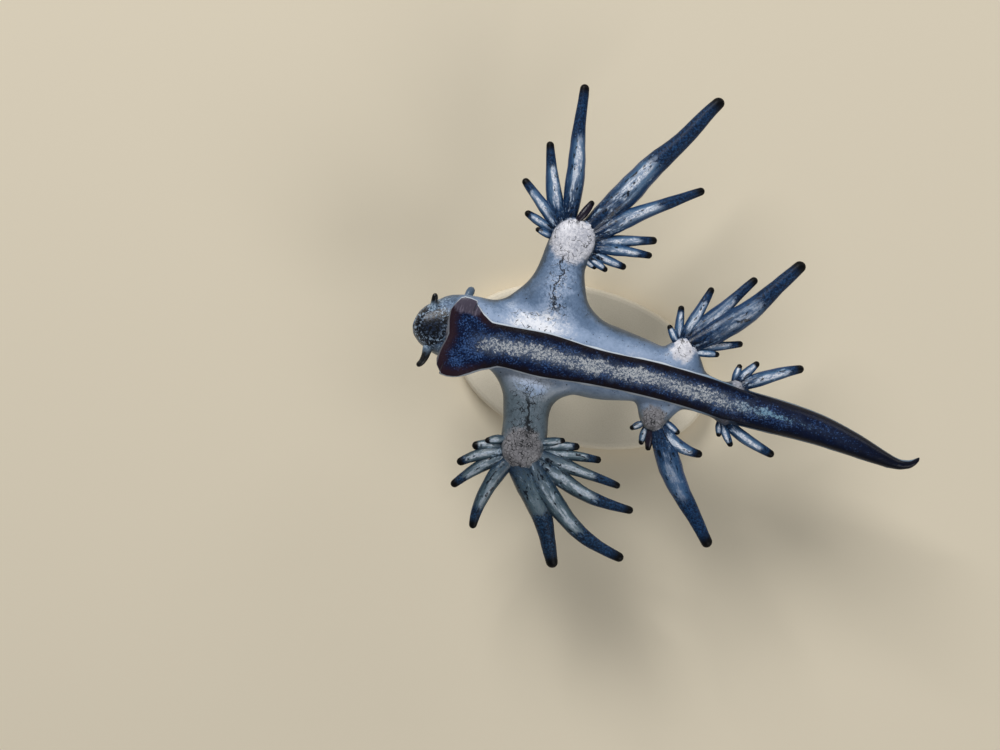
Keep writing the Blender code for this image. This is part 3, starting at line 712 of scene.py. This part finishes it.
class Recipe:
    # a small helper that adds and links the nodes of one material; colours go by their names

    def __init__(self, name, colours):
        self.colours = {key: colour(code) for key, code in colours.items()}
        self.material = bpy.data.materials.new(name)
        self.material.use_nodes = True
        self.tree = self.material.node_tree
        self.shader = self.tree.nodes["Principled BSDF"]
        where = self.add("TexCoord").outputs["Object"]
        self.place = self.stretched((1 / millimetre,) * 3, where)  # patterns are scaled in millimetres

    def feed(self, socket, value):
        if isinstance(value, bpy.types.NodeSocket):
            self.tree.links.new(value, socket)
        else:
            socket.default_value = self.colours[value] if isinstance(value, str) else value

    def feedAll(self, node, values):
        for name, value in values.items():
            self.feed(node.inputs[name.replace("_", " ")], value)

    def feedInTurn(self, node, *values):
        for socket, value in zip(node.inputs, values):
            self.feed(socket, value)

    def add(self, kind, **values):
        node = self.tree.nodes.new("ShaderNode" + kind)
        self.feedAll(node, values)
        return node

    def math(self, operation, a, b=0.0, c=0.0, clamp=False):
        node = self.add("Math")
        node.operation = operation
        node.use_clamp = clamp
        self.feedInTurn(node, a, b, c)
        return node.outputs[0]

    def times(self, a, *more):
        return self.math("MULTIPLY", a, self.times(*more) if len(more) > 1 else more[0])

    def most(self, a, *more):
        return self.math("MAXIMUM", a, self.most(*more) if len(more) > 1 else more[0])

    def plus(self, a, b):
        return self.math("ADD", a, b)

    def minus(self, a, b):
        return self.math("SUBTRACT", a, b)

    def scaled(self, value, by, added, clamp=False):
        return self.math("MULTIPLY_ADD", value, by, added, clamp)

    def ragged(self, value, pattern, amount):
        # value, pushed up and down by the pattern, by half the amount at most
        return self.plus(value, self.scaled(pattern, amount, -amount / 2))

    def step(self, value, low, high):
        # 0 below low, 1 above high, smooth between; also falls if high is the lower one
        node = self.add("MapRange", Value=value, From_Min=low, From_Max=high)
        node.interpolation_type = "SMOOTHSTEP"
        return node.outputs["Result"]

    def mix(self, factor, a, b):
        node = self.add("Mix")
        node.data_type = "RGBA"
        for number, value in ((0, factor), (6, a), (7, b)):  # the inputs of the colour kind
            self.feed(node.inputs[number], value)
        return node.outputs[2]

    def ramp(self, value, base, *steps):
        # each further colour is laid over the base as the value goes from its low to its high
        for low, high, over in steps:
            base = self.mix(self.step(value, low, high), base, over)
        return base

    def noise(self, scale, detail=3.0, rough=0.55, place=None):
        return self.add("TexNoise", Vector=place or self.place, Scale=scale, Detail=detail,
                        Roughness=rough).outputs["Fac"]

    def cells(self, scale, feature="F1", place=None, output="Distance"):
        node = self.add("TexVoronoi", Vector=place or self.place, Scale=scale)
        node.feature = feature
        return node.outputs[output]

    def stretched(self, scale, place=None):
        return self.add("Mapping", Vector=place or self.place, Scale=scale).outputs["Vector"]

    def bent(self, amount, scale):
        # the place, pushed about by a noise, so that a pattern isn't regular
        push = self.add("TexNoise", Vector=self.place, Scale=scale).outputs["Color"]
        node = self.add("VectorMath")
        node.operation = "MULTIPLY_ADD"
        self.feedInTurn(node, push, (amount,) * 3, self.place)
        return node.outputs[0]

    def vector(self, name):
        node = self.add("Attribute")
        node.attribute_name = name
        return node.outputs["Vector"]

    def split(self, vector, kind="XYZ"):
        node = self.add("Separate" + kind)
        self.feed(node.inputs[0], vector)
        return node.outputs

    def mark(self, name):
        return self.split(self.vector(name))

    def finish(self, base, roughness, relief, strength, distance, **others):
        node = self.add("Bump", Height=relief, Strength=strength, Distance=distance * millimetre)
        self.feedAll(self.shader, {"Base Color": base, "Roughness": roughness, **others})
        self.feed(self.shader.inputs["Normal"], node.outputs[0])
        return self.material


skinPattern = {
    "plates": 5.2,                  # to a millimetre, as are the next three
    "cracks": 1.9,
    "branches": 2.6,
    "dots": 3.6,
    "centreCrack": (0.105, 0.04),   # half width of the crack along an arm, at its edge and full dark
    "band": (-0.34, 0.74),          # half width of the sole's band: its change on the tail, and elsewhere
    "margin": (0.30, 0.50),         # width of the sole's margin: its change at the front, and elsewhere
    "bump": (0.3, 0.05),            # strength and depth
    "roughness": (0.25, 0.23),      # most that the fine pattern adds, and least
    "gloss": (-0.19, 0.35),         # its change on the sole, and elsewhere
}
skinColours = {
    "darkSteelAndShade": "#3c4a59", "steel": "#687f9e", "silver": "#97abc9", "white": "#f6f8ff",
    "rightDarkAndShade": "#343f45", "rightSteel": "#5b6973", "rightSilver": "#78838f",
    "crack": "#06080d", "dorsal": "#8796a5", "pearl": "#b4c0cb",
    "navy": "#071330", "royal": "#1c3968", "sparkle": "#456392", "margin": "#120b10",
    "frontMargin": "#2b1a22", "tailMargin": "#090d1c",
    "band": "#bcbfc2", "bandBlue": "#56657b", "haze": "#4b5669", "rimHighlight": "#d3dde8", "tailRimHighlight": "#7b96b0",
    "lobe": "#4e4856", "lobeVein": "#857d8e", "crown": "#05070c", "crownBlue": "#14223a",
    "fleck": "#a2b8cf", "headSteel": "#4c6177", "teal": "#5f8fae",
    "pad": "#b6b8c4", "padLight": "#f3f2f8", "padGrey": "#59595c", "padGreyLight": "#8f8d91",
}


def makeFleshSkin():
    r = Recipe("silver_skin", skinColours)
    step, mix, ramp, times, scaled = r.step, r.mix, r.ramp, r.times, r.scaled
    noise, ragged, plus, minus, most = r.noise, r.ragged, r.plus, r.minus, r.most
    soleEdge, left, up = r.mark("sole")
    middle, outward, pad = r.mark("arm")
    shoulder, crown, lobe = r.mark("tone")
    kind, reach = r.mark("part")[:2]
    x, y = r.split(r.place)[:2]

    soft = noise(0.8, 4.0)
    fine = noise(6.0, 4.0, 0.65)
    grit = noise(11.0, 2.0, 0.6)
    rightSide = step(y, -0.8, -2.6)

    # how bright the silver skin is: most on the shoulder, with a painted highlight along an arm's middle
    # and beside the foot, and painted shade where the skin faces less upward
    fromMiddle = r.math("ABSOLUTE", ragged(middle, soft, 0.9))
    onArm = step(outward, 1.8, 3.4)
    ridge = times(step(fromMiddle, 1.55, 0.05), onArm)
    highlightBesideFoot = times(step(soleEdge, -1.9, -0.1), step(x, 9.0, 5.0))
    toneAndPaintedLight = scaled(rightSide, 0.14, 0.27)
    toneAndPaintedLight = scaled(ridge, scaled(rightSide, -0.30, 0.42), toneAndPaintedLight)
    # beside the foot a painted highlight, and painted shade where the skin turns from facing up
    for place, amount in ((highlightBesideFoot, 0.40), (shoulder, 0.62), (step(up, 0.97, 0.30), -0.32)):
        toneAndPaintedLight = scaled(place, amount, toneAndPaintedLight)
    toneAndPaintedLight = scaled(soft, 0.55, plus(toneAndPaintedLight, -0.275))
    # granules like plates of foil, each with its own brightness, more marked where the skin is bright
    plates = r.cells(skinPattern["plates"], "F1", r.bent(0.4, 2.5), "Color")
    grain = scaled(r.split(plates, "Color")[0], 0.42, scaled(fine, 1.7, -1.06))
    depth = scaled(shoulder, 0.32, scaled(ridge, 0.50, 0.18), clamp=True)
    toneAndPaintedLight = scaled(grain, depth, toneAndPaintedLight)
    # the darkest colour of these ramps is partly painted shade, the white partly painted highlight
    plain = ramp(toneAndPaintedLight, "darkSteelAndShade", (0.0, 0.42, "steel"), (0.36, 0.72, "silver"), (0.68, 1.20, "white"))
    dull = ramp(toneAndPaintedLight, "rightDarkAndShade", (0.0, 0.46, "rightSteel"), (0.45, 0.85, "rightSilver"),
                (0.85, 1.2, "silver"))
    skin = mix(rightSide, plain, dull)
    # the back, which faces down, is a plainer pearl grey
    facesDown = step(up, -0.05, -0.5)
    pearl = ramp(soft, "dorsal", (0.35, 0.65, "pearl"))
    skin = mix(facesDown, skin, pearl)

    # the pads in the middle of the fans
    onPad = times(step(ragged(pad, noise(2.6, 4.0, 0.6), 0.9), -0.12, 0.30), step(up, 0.1, 0.5))
    crumb = step(plus(times(noise(6.0, 5.0, 0.7), 0.75), times(soft, 0.35)), 0.40, 0.68)
    paler = most(crumb, times(step(x, 1.0, 5.0), 0.45))
    padSkin = ramp(y, mix(paler, "pad", "padLight"), (0.5, -1.0, mix(crumb, "padGrey", "padGreyLight")))
    skin = mix(onPad, skin, padSkin)

    # cracks: broken edges of bent cells, close to the middle of the arms, on the shoulder and the pads
    facesUp = step(up, 0.5, 0.8)
    edges = r.cells(skinPattern["cracks"], "DISTANCE_TO_EDGE", r.bent(0.6, 1.8))
    broken = step(noise(2.3, 2.0), 0.51, 0.57)
    crackZone = most(ridge, shoulder, times(onPad, 0.8))
    crackZone = times(step(crackZone, 0.35, 0.65), facesUp)
    cracks = times(step(edges, 0.05, 0.015), broken, crackZone)
    # one jagged crack along the middle of each front arm, with short branches
    jag = scaled(noise(1.35, 3.0, 0.62), 1.4, -0.76)
    centreLine = r.math("ABSOLUTE", plus(middle, jag))
    along = times(step(outward, 2.7, 3.4), step(pad, 0.7, 0.2))
    thick = scaled(rightSide, -0.05, centreLine)
    centreCrack = step(thick, *skinPattern["centreCrack"])
    centreCrack = times(centreCrack, along, step(noise(2.6, 2.0), 0.28, 0.36))
    branches = r.cells(skinPattern["branches"], "DISTANCE_TO_EDGE", r.bent(0.35, 3.2))
    dashed = times(rightSide, step(fromMiddle, 1.5, 0.7), facesUp)
    branchZone = most(times(step(thick, 0.75, 0.25), along), dashed)
    branches = times(step(branches, 0.075, 0.02), branchZone, step(noise(3.0, 2.0), 0.47, 0.53))
    # scattered black dots and dashes, more of them on the right arm
    dots = step(r.cells(skinPattern["dots"], "F1", r.bent(0.5, 3.4)), 0.21, 0.09)
    dotZone = step(plus(noise(0.9, 2.0), times(rightSide, 0.10)), 0.47, 0.58)
    dots = times(dots, dotZone, step(up, 0.35, 0.7))
    dark = most(most(cracks, centreCrack), branches, dots)
    skin = mix(times(dark, 0.9), skin, "crack")

    # head: black-blue crown that breaks up into flecks, pale flecks round it
    onCrown = times(step(ragged(crown, noise(3.2, 6.0, 0.75), 1.5), 0.02, 0.26), step(up, -0.1, 0.3))
    flecks = times(step(fine, 0.53, 0.62), step(r.math("ABSOLUTE", crown), 1.1, 0.2))
    # painted shade: the head's skin turns a deeper steel where it faces less upward
    headSkin = ramp(up, "steel", (0.95, 0.3, "headSteel"))
    headSkin = mix(facesDown, headSkin, pearl)
    headSkin = mix(times(step(grain, 0.0, -0.3), 0.7), headSkin, "darkSteelAndShade")
    headSkin = mix(onCrown, headSkin, ramp(fine, "crown", (0.45, 0.62, "crownBlue")))
    headSkin = mix(times(flecks, step(up, -0.2, 0.3)), headSkin, "fleck")
    sparks = times(step(grit, 0.58, 0.66), onCrown)
    headSkin = mix(times(sparks, 0.35), headSkin, "steel")
    skin = mix(step(x, -9.0, -9.5), skin, headSkin)

    # sole: navy with blue speckles, a flecked band along its middle and dark margins
    inward = scaled(step(soleEdge, 0.2, 1.1), 0.12, -0.10)
    speckled = ragged(noise(8.0, 3.0, 0.65), noise(1.3, 3.0), 0.5)
    speckled = plus(speckled, scaled(step(x, 9.0, 15.0), -0.05, inward))
    navy = ramp(speckled, "navy", (0.44, 0.64, "royal"))
    spotted = step(plus(grit, speckled), 1.04, 1.18)
    navy = mix(times(spotted, 0.7), navy, "sparkle")
    bandAt = r.math("ABSOLUTE", ragged(minus(left, 0.05), noise(1.4, 5.0, 0.7), 1.3))
    bandWide = scaled(step(x, 8.0, 14.0), *skinPattern["band"])
    inBand = step(r.math("DIVIDE", bandAt, bandWide), 1.3, 0.2)
    inBand = times(inBand, step(x, -8.4, -6.4), step(x, 22.0, 11.0))
    haze = times(inBand, scaled(step(x, 9.0, 13.0), -0.45, 0.72))
    squiggle = scaled(noise(5.5, 4.0, 0.75, r.bent(0.3, 4.0)), 0.75, times(soft, 0.25))
    inFleck = step(plus(squiggle, scaled(inBand, 0.32, -0.32)), 0.41, 0.53)
    bandColour = ramp(plus(grit, minus(squiggle, 0.5)), "bandBlue", (0.36, 0.66, "band"))
    bandColour = mix(times(step(x, 9.0, 13.0), 0.8), bandColour, "teal")
    sole = mix(inFleck, mix(haze, navy, "haze"), bandColour)
    marginWide = scaled(step(x, -6.5, -8.0), *skinPattern["margin"])
    marginAt = ragged(soleEdge, noise(2.2, 4.0, 0.65), 0.8)
    margin = step(r.math("DIVIDE", marginAt, marginWide), 1.3, 0.4)
    marginColour = ramp(x, "margin", (-6.0, -7.8, "frontMargin"), (7.0, 10.0, "tailMargin"))
    sole = mix(times(margin, 0.94), sole, marginColour)
    sole = mix(times(step(x, 17.0, 21.5), 0.75), sole, "tailMargin")
    # the lobe at the left of the front edge is greyer, with fine veins toward its rim
    lobeAt = step(ragged(lobe, noise(2.0, 4.0), 0.9), 0.35, 0.75)
    veins = step(noise(1.0, 3.0, 0.6, r.stretched((7.0, 1.2, 1.0))), 0.5, 0.66)
    sole = mix(lobeAt, sole, mix(times(veins, 0.5), "lobe", "lobeVein"))
    # a pale rim, a painted highlight along the sole's edge, weaker on the right and at the front
    rimHighlight = times(step(soleEdge, 0.12, 0.06), step(up, 0.0, 0.4),
                scaled(step(y, 0.0, -1.0), -0.35, 0.95), scaled(step(x, -9.0, -9.4), -0.75, 1.0))
    rimHighlightColour = ramp(x, "rimHighlight", (6.0, 9.0, "tailRimHighlight"))
    onFoot, notFeeler = step(kind, 0.4, 0.6), step(kind, 1.6, 1.4)
    fromUnder = scaled(step(x, 11.6, 8.8), -0.6, soleEdge)
    tailSole = times(step(fromUnder, -0.02, 0.03), step(x, 7.8, 8.2))
    onSole = times(most(onFoot, tailSole), notFeeler, step(up, 0.0, 0.3))
    skin = mix(onSole, skin, mix(rimHighlight, sole, rimHighlightColour))
    # the flank of the tail is dark too, flecked with blue
    flank = step(ragged(x, soft, 4.0), 7.6, 12.5)
    flank = times(flank, step(up, -0.5, -0.1), minus(1.0, onSole), notFeeler)
    skin = mix(times(flank, 0.9), skin, ramp(fine, "navy", (0.5, 0.7, "royal")))

    # feelers: pale root, black end on the oral tentacles, grey-blue rhinophores
    oral = ramp(fine, "headSteel", (0.42, 0.6, "fleck"))
    oral = ramp(ragged(reach, fine, 0.7), oral, (0.25, 0.55, "crown"))
    rhino = ramp(reach, "steel", (0.2, 1.0, "headSteel"))
    skin = ramp(kind, skin, (1.6, 1.8, oral), (2.6, 2.8, rhino))

    relief = scaled(r.cells(7.0), 0.5, times(fine, 0.8))
    relief = minus(relief, times(dark, 0.5))
    gloss = scaled(onSole, *skinPattern["gloss"])
    return r.finish(skin, scaled(fine, *skinPattern["roughness"]), relief, *skinPattern["bump"],
                    Specular_IOR_Level=gloss, Coat_Weight=0.06, Coat_Roughness=0.08)


cerasPattern = {
    "bump": (0.28, 0.045),
    "roughness": (0.25, 0.17),
    "roughTip": 0.18,            # added on the dark outer part
    "gloss": (-0.16, 0.28),      # its change on the dark outer part, and elsewhere
}
cerasColours = {
    "navy": "#0d1d35", "blue": "#22456f", "spark": "#34608e", "rightBlue": "#274462", "root": "#0d1f38",
    "steel": "#587b9d", "steelDark": "#22426a", "tealSteel": "#596c75", "tealDark": "#2a3b46",
    "rightNavy": "#111b2a", "silver": "#a2b1c9", "white": "#f4f6fb", "rightSilver": "#84929c",
    "fleck": "#a3b9d0", "speck": "#080f1c",
    "tip": "#050609", "shadedBrown": "#2c2130", "dorsal": "#7488a0",
}


def makeCerasSkin():
    r = Recipe("cerata_skin", cerasColours)
    step, mix, ramp, times, scaled = r.step, r.mix, r.ramp, r.times, r.scaled
    noise, ragged, plus, minus, most = r.noise, r.ragged, r.plus, r.minus, r.most
    run, up, silverEnd = r.mark("cerasRun")
    blackTip, glow, shadedBrown = r.mark("cerasKind")
    way = r.vector("cerasWay")
    x, y = r.split(r.place)[:2]
    fine = noise(6.5, 5.0, 0.7)
    grit = noise(12.0, 2.0, 0.6)
    streak = noise(4.2, 4.0, 0.65, way)

    # the front right fan is darker and greyer than the others
    rightSide = times(step(y, 1.0, -3.0), step(x, 7.0, 2.0))
    steel = mix(rightSide, "steel", "tealSteel")
    steelDark = mix(rightSide, "steelDark", "tealDark")
    blue = mix(rightSide, "blue", "rightBlue")
    navy = ramp(fine, mix(rightSide, "navy", "rightNavy"), (0.42, 0.68, blue))
    navy = mix(times(step(grit, 0.55, 0.66), 0.4), navy, "spark")
    # steel blue flanks as far as the silver reaches, navy beyond it; the flanks are painted lighter
    # toward the upper side and darker down the sides, as painted shade
    past = minus(run, silverEnd)
    pastRough = ragged(past, streak, 0.30)
    outer = step(pastRough, -0.05, 0.05)
    nearRoot = step(ragged(run, streak, 0.5), 0.40, 0.09)
    # the dim ones on the left are dark further out
    deepRoot = step(ragged(run, streak, 0.6), 0.56, 0.30)
    nearRoot = most(nearRoot, times(deepRoot, minus(0.95, glow), step(y, 2.0, 3.0)))
    nearRoot = times(nearRoot, scaled(rightSide, -0.45, 1.0))
    crest = ragged(up, streak, 0.30)
    # painted shade: lighter where the ceras faces up, darker down its sides
    flank = ramp(crest, steelDark, (0.45, 1.02, steel))
    flank = mix(times(step(fine, 0.45, 0.66), 0.4), flank, navy)
    duller = times(minus(1.0, glow), scaled(rightSide, -0.55, 0.70))
    flank = mix(duller, flank, steelDark)
    darkEnds = most(outer, nearRoot)
    base = mix(darkEnds, flank, navy)
    base = mix(times(step(run, 0.14, -0.02), scaled(rightSide, -0.3, 0.8)), base, "root")
    # silver along the upper side, broken into streaks and flecks toward the root: a real silver marking,
    # with a painted highlight where it faces up and a painted sheen round it
    between = minus(1.0, darkEnds)
    # a painted sheen of silver along the crest
    paintedCrestSheen = times(step(crest, 0.84, 1.03), between, glow)
    base = mix(times(paintedCrestSheen, 0.8), base, mix(rightSide, "silver", "rightSilver"))
    patchy = plus(streak, times(r.math("MINIMUM", run, 0.42), 0.55))
    stripe = times(step(patchy, 0.62, 0.74), step(crest, 0.89, 0.99), glow)
    stripe = times(stripe, minus(1.0, outer), scaled(nearRoot, -0.45, 1.0))
    silverAndGlint = ramp(fine, "silver", (0.38, 0.58, "white"))
    silverAndGlint = mix(times(rightSide, 0.6), silverAndGlint, "rightSilver")
    base = mix(times(stripe, 0.92), base, silverAndGlint)
    flecks = times(step(streak, 0.56, 0.63), step(up, 0.35, 0.8), step(fine, 0.48, 0.56))
    flecks = times(flecks, step(past, 0.10, -0.05))
    base = mix(times(flecks, scaled(glow, 0.62, 0.18)), base, "fleck")
    # black dashes on the silver
    dashes = times(step(noise(3.6, 3.0, 0.6, way), 0.565, 0.60), step(noise(2.6, 3.0), 0.46, 0.54))
    dashes = times(dashes, step(up, 0.4, 0.8), step(past, 0.08, -0.05))
    base = mix(times(dashes, 0.95), base, "speck")
    # the side that faces down is paler
    under = times(step(up, -0.3, -0.85), step(pastRough, 0.25, -0.1))
    base = mix(times(under, 0.75), base, "dorsal")
    # painted shade: the two small ones on the lower row are dark brown all over
    base = mix(shadedBrown, base, mix(fine, "shadedBrown", "speck"))
    base = ramp(ragged(minus(run, blackTip), fine, 0.10), base, (-0.06, 0.03, "tip"))

    relief = scaled(r.cells(7.0), 0.5, times(fine, 0.8))
    gloss = scaled(outer, *cerasPattern["gloss"])
    added, least = cerasPattern["roughness"]
    roughness = scaled(fine, added, scaled(outer, cerasPattern["roughTip"], least))
    return r.finish(base, roughness, relief, *cerasPattern["bump"],
                    Specular_IOR_Level=gloss, Coat_Weight=0.015, Coat_Roughness=0.15)


standColours = {
    "plate": "#eadfca", "plateSpeckle": "#dfd3bb", "platePatch": "#d6cab2",
    "steel": "#b9bab8", "steelLight": "#d7d7d4", "felt": "#bdb7ab", "feltLight": "#d3cdc0",
}


def makeStandFinishes():
    r = Recipe("stand_base", standColours)
    base = r.ramp(r.noise(14.0, 4.0, 0.7), "plate", (0.45, 0.7, "plateSpeckle"))
    base = r.mix(r.times(r.noise(0.5, 3.0), 0.25), base, "platePatch")
    plate = r.finish(base, r.scaled(r.noise(6.0), 0.2, 0.5), r.noise(18.0, 4.0, 0.7), 0.25, 0.04)

    r = Recipe("stand_rods", standColours)
    rings = r.noise(1.0, 3.0, 0.6, r.stretched((0.3, 0.3, 14.0)))  # fine rings from the lathe
    steel = r.mix(rings, "steel", "steelLight")
    rods = r.finish(steel, r.scaled(rings, 0.2, 0.24), rings, 0.2, 0.02, Metallic=1.0)

    r = Recipe("stand_cushion", standColours)
    weave = r.noise(16.0, 4.0, 0.7)
    cushion = r.finish(r.mix(weave, "felt", "feltLight"), r.scaled(weave, 0.2, 0.6), weave, 0.3, 0.03)
    return plate, rods, cushion


# stand: a washer under each rod's foot, and a soft cushion between its top and the back
fittings = {
    "sides": 32,
    "washer": {"radius": 1.32, "depth": 0.26, "insets": [(0.07, 0.07), (0.30, 0.0)]},
    "cushion": {"radius": 1.04, "depth": 0.50, "insets": [(0.10, 0.10), (0.30, 0.05)]},
    "washerDrop": 0.10,    # from the rod's foot down to the middle of the washer
    "cushionSink": 0.26,   # how far the cushion goes into the back and over the rod
    "backReach": 0.5,      # the back is measured this far round the rod's middle
}


def makeDisc(name, size):
    # a cylinder whose two flat faces are inset and raised step by step, then rounded
    deselectAll()
    bpy.ops.mesh.primitive_cylinder_add(vertices=fittings["sides"], radius=size["radius"],
                                        depth=size["depth"], location=(0, 0, 0))
    disc = bpy.context.active_object
    disc.name = name
    setMode("EDIT")
    bpy.ops.mesh.select_mode(type="FACE")
    bpy.ops.mesh.select_all(action="DESELECT")
    setMode("OBJECT")
    for face in disc.data.polygons:
        face.select = abs(face.normal.z) > 0.9
    setMode("EDIT")
    for inward, rise in size["insets"]:
        bpy.ops.mesh.inset(thickness=inward, depth=rise, use_individual=True)
    setMode("OBJECT")
    applyModifier(disc, "SUBSURF", levels=2, render_levels=2)
    return disc


def setCopy(model, name, place, height, finish):
    # a copy with a mesh of its own, stretched to its height and set at its place
    pick(model)
    bpy.ops.object.duplicate()
    piece = bpy.context.active_object
    piece.name = name
    size = (millimetre, millimetre, millimetre * height)
    bpy.ops.transform.resize(value=size, center_override=(0, 0, 0))
    bpy.ops.transform.translate(value=place)
    applyPlace()
    bpy.ops.object.shade_smooth()
    giveFinish(piece, finish)
    return piece


def fitStand(flesh, steel, soft):
    places = corners(flesh.data)
    washer = makeDisc("washer", fittings["washer"])
    cushion = makeDisc("cushion", fittings["cushion"])
    halfHeight = corners(cushion.data)[:, 2].max()
    made = []
    for place in ("front", "rear"):
        rod = frame["nodes"]["stand_rod_" + place]
        box = np.array([rod.matrix_world @ Vector(corner) for corner in rod.bound_box])
        low, high = box.min(0), box.max(0)
        x, y = (low[:2] + high[:2]) / 2
        above = np.hypot(places[:, 0] - x, places[:, 1] - y) < fittings["backReach"] * millimetre
        back = places[above, 2].min()
        foot = (x, y, low[2] - fittings["washerDrop"] * millimetre)
        made.append(setCopy(washer, "washer_" + place, foot, 1.0, steel))
        middle = (x, y, (high[2] + back) / 2)
        tall = (back - high[2]) / 2 / millimetre + fittings["cushionSink"]
        made.append(setCopy(cushion, "cushion_" + place, middle, tall / halfHeight, soft))
    bpy.data.objects.remove(washer)
    bpy.data.objects.remove(cushion)
    print("stand fittings:", len(made))
    return made


# scene
view = {
    "aim": (-5.318, -2.046, 9.7),   # what the middle of the photo shows, in millimetres
    "turn": 15.0,                   # degrees, as the animal lies askew in the photo
    "lens": 100.0,
    "sensor": 36.0,
    "frameWidth": 66.67,            # millimetres from side to side of the photo
}


def makeCamera():
    camera = bpy.data.cameras.new("camera")
    camera.lens = view["lens"]
    camera.sensor_width = view["sensor"]
    camera.clip_start = 0.01
    holder = addObject("camera", camera)
    away = view["frameWidth"] * view["lens"] / view["sensor"]
    x, y, z = view["aim"]
    holder.location = (x * millimetre, y * millimetre, (z + away) * millimetre)
    holder.rotation_euler = (0, 0, math.radians(view["turn"]))
    bpy.context.scene.camera = holder


lights = {  # place in millimetres, size in millimetres, watts
    "key": ((-160, 195, 230), 160, 0.78),
    "fill": ((210, -125, 195), 175, 0.28),
    "back": ((110, 250, 110), 125, 0.10),
}
studio = {
    "lightsAim": (0, 0, 9),
    "sky": (0.92, 0.96, 1.0, 1.0),
    "skyStrength": 0.16,
    "floor": "#e6dac2",
    "floorSize": 2.0,               # metres
    "floorRoughness": 0.85,
}


def makeLights():
    for name, (place, size, power) in lights.items():
        lamp = bpy.data.lights.new(name, "AREA")
        lamp.shape = "DISK"
        lamp.size = size * millimetre
        lamp.energy = power
        holder = addObject(name, lamp)
        holder.location = [value * millimetre for value in place]
        aim = Vector(studio["lightsAim"]) * millimetre - holder.location
        holder.rotation_euler = aim.to_track_quat("-Z", "Y").to_euler()
    world = bpy.data.worlds.new("studio")
    world.use_nodes = True
    sky = world.node_tree.nodes["Background"]
    sky.inputs["Color"].default_value = studio["sky"]
    sky.inputs["Strength"].default_value = studio["skyStrength"]
    bpy.context.scene.world = world
    bpy.context.scene.view_settings.view_transform = "Standard"
    print("lights:", len(lights))


def makeFloor():
    deselectAll()
    bpy.ops.mesh.primitive_plane_add(size=studio["floorSize"], location=(0, 0, 0))
    floor = bpy.context.active_object
    floor.name = "floor"
    material = bpy.data.materials.new("floor")
    material.use_nodes = True
    shader = material.node_tree.nodes["Principled BSDF"]
    shader.inputs["Base Color"].default_value = colour(studio["floor"])
    shader.inputs["Roughness"].default_value = studio["floorRoughness"]
    floor.data.materials.append(material)


makeCamera()
fleshSkin, cerasSkin = makeFleshSkin(), makeCerasSkin()
skin = makeBody()
cutMouth(skin)
markFlesh(skin, 0)
sole = makeFoot()
markFlesh(sole, 1)
tips = makeFeelers()
for number, tip in enumerate(tips):
    markFlesh(tip, 2 if number < 2 else 3)
plumes = makeCerata()
for piece in [skin, sole, *tips]:
    giveFinish(piece, fleshSkin)
for piece in plumes:
    giveFinish(piece, cerasSkin)
joinSkin(skin, [sole, *tips, *plumes])
softenJoins(skin)
skin.name = "slug_skin"
pick(skin)
bpy.ops.transform.resize(value=(millimetre,) * 3, center_override=(0, 0, 0))
applyPlace()
bpy.ops.object.shade_smooth()
print("skin:", len(skin.data.polygons), "faces")

plate, rods, felt = makeStandFinishes()
for name, finish in (("stand_base", plate), ("stand_rod_front", rods), ("stand_rod_rear", rods)):
    giveFinish(frame["nodes"][name], finish)
standPieces = fitStand(skin, rods, felt)

makeFloor()
makeLights()

for piece in standPieces:
    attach(piece, "root")
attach(skin, "root")
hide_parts(*[name for name in frame["nodes"] if not name.startswith("stand_")])
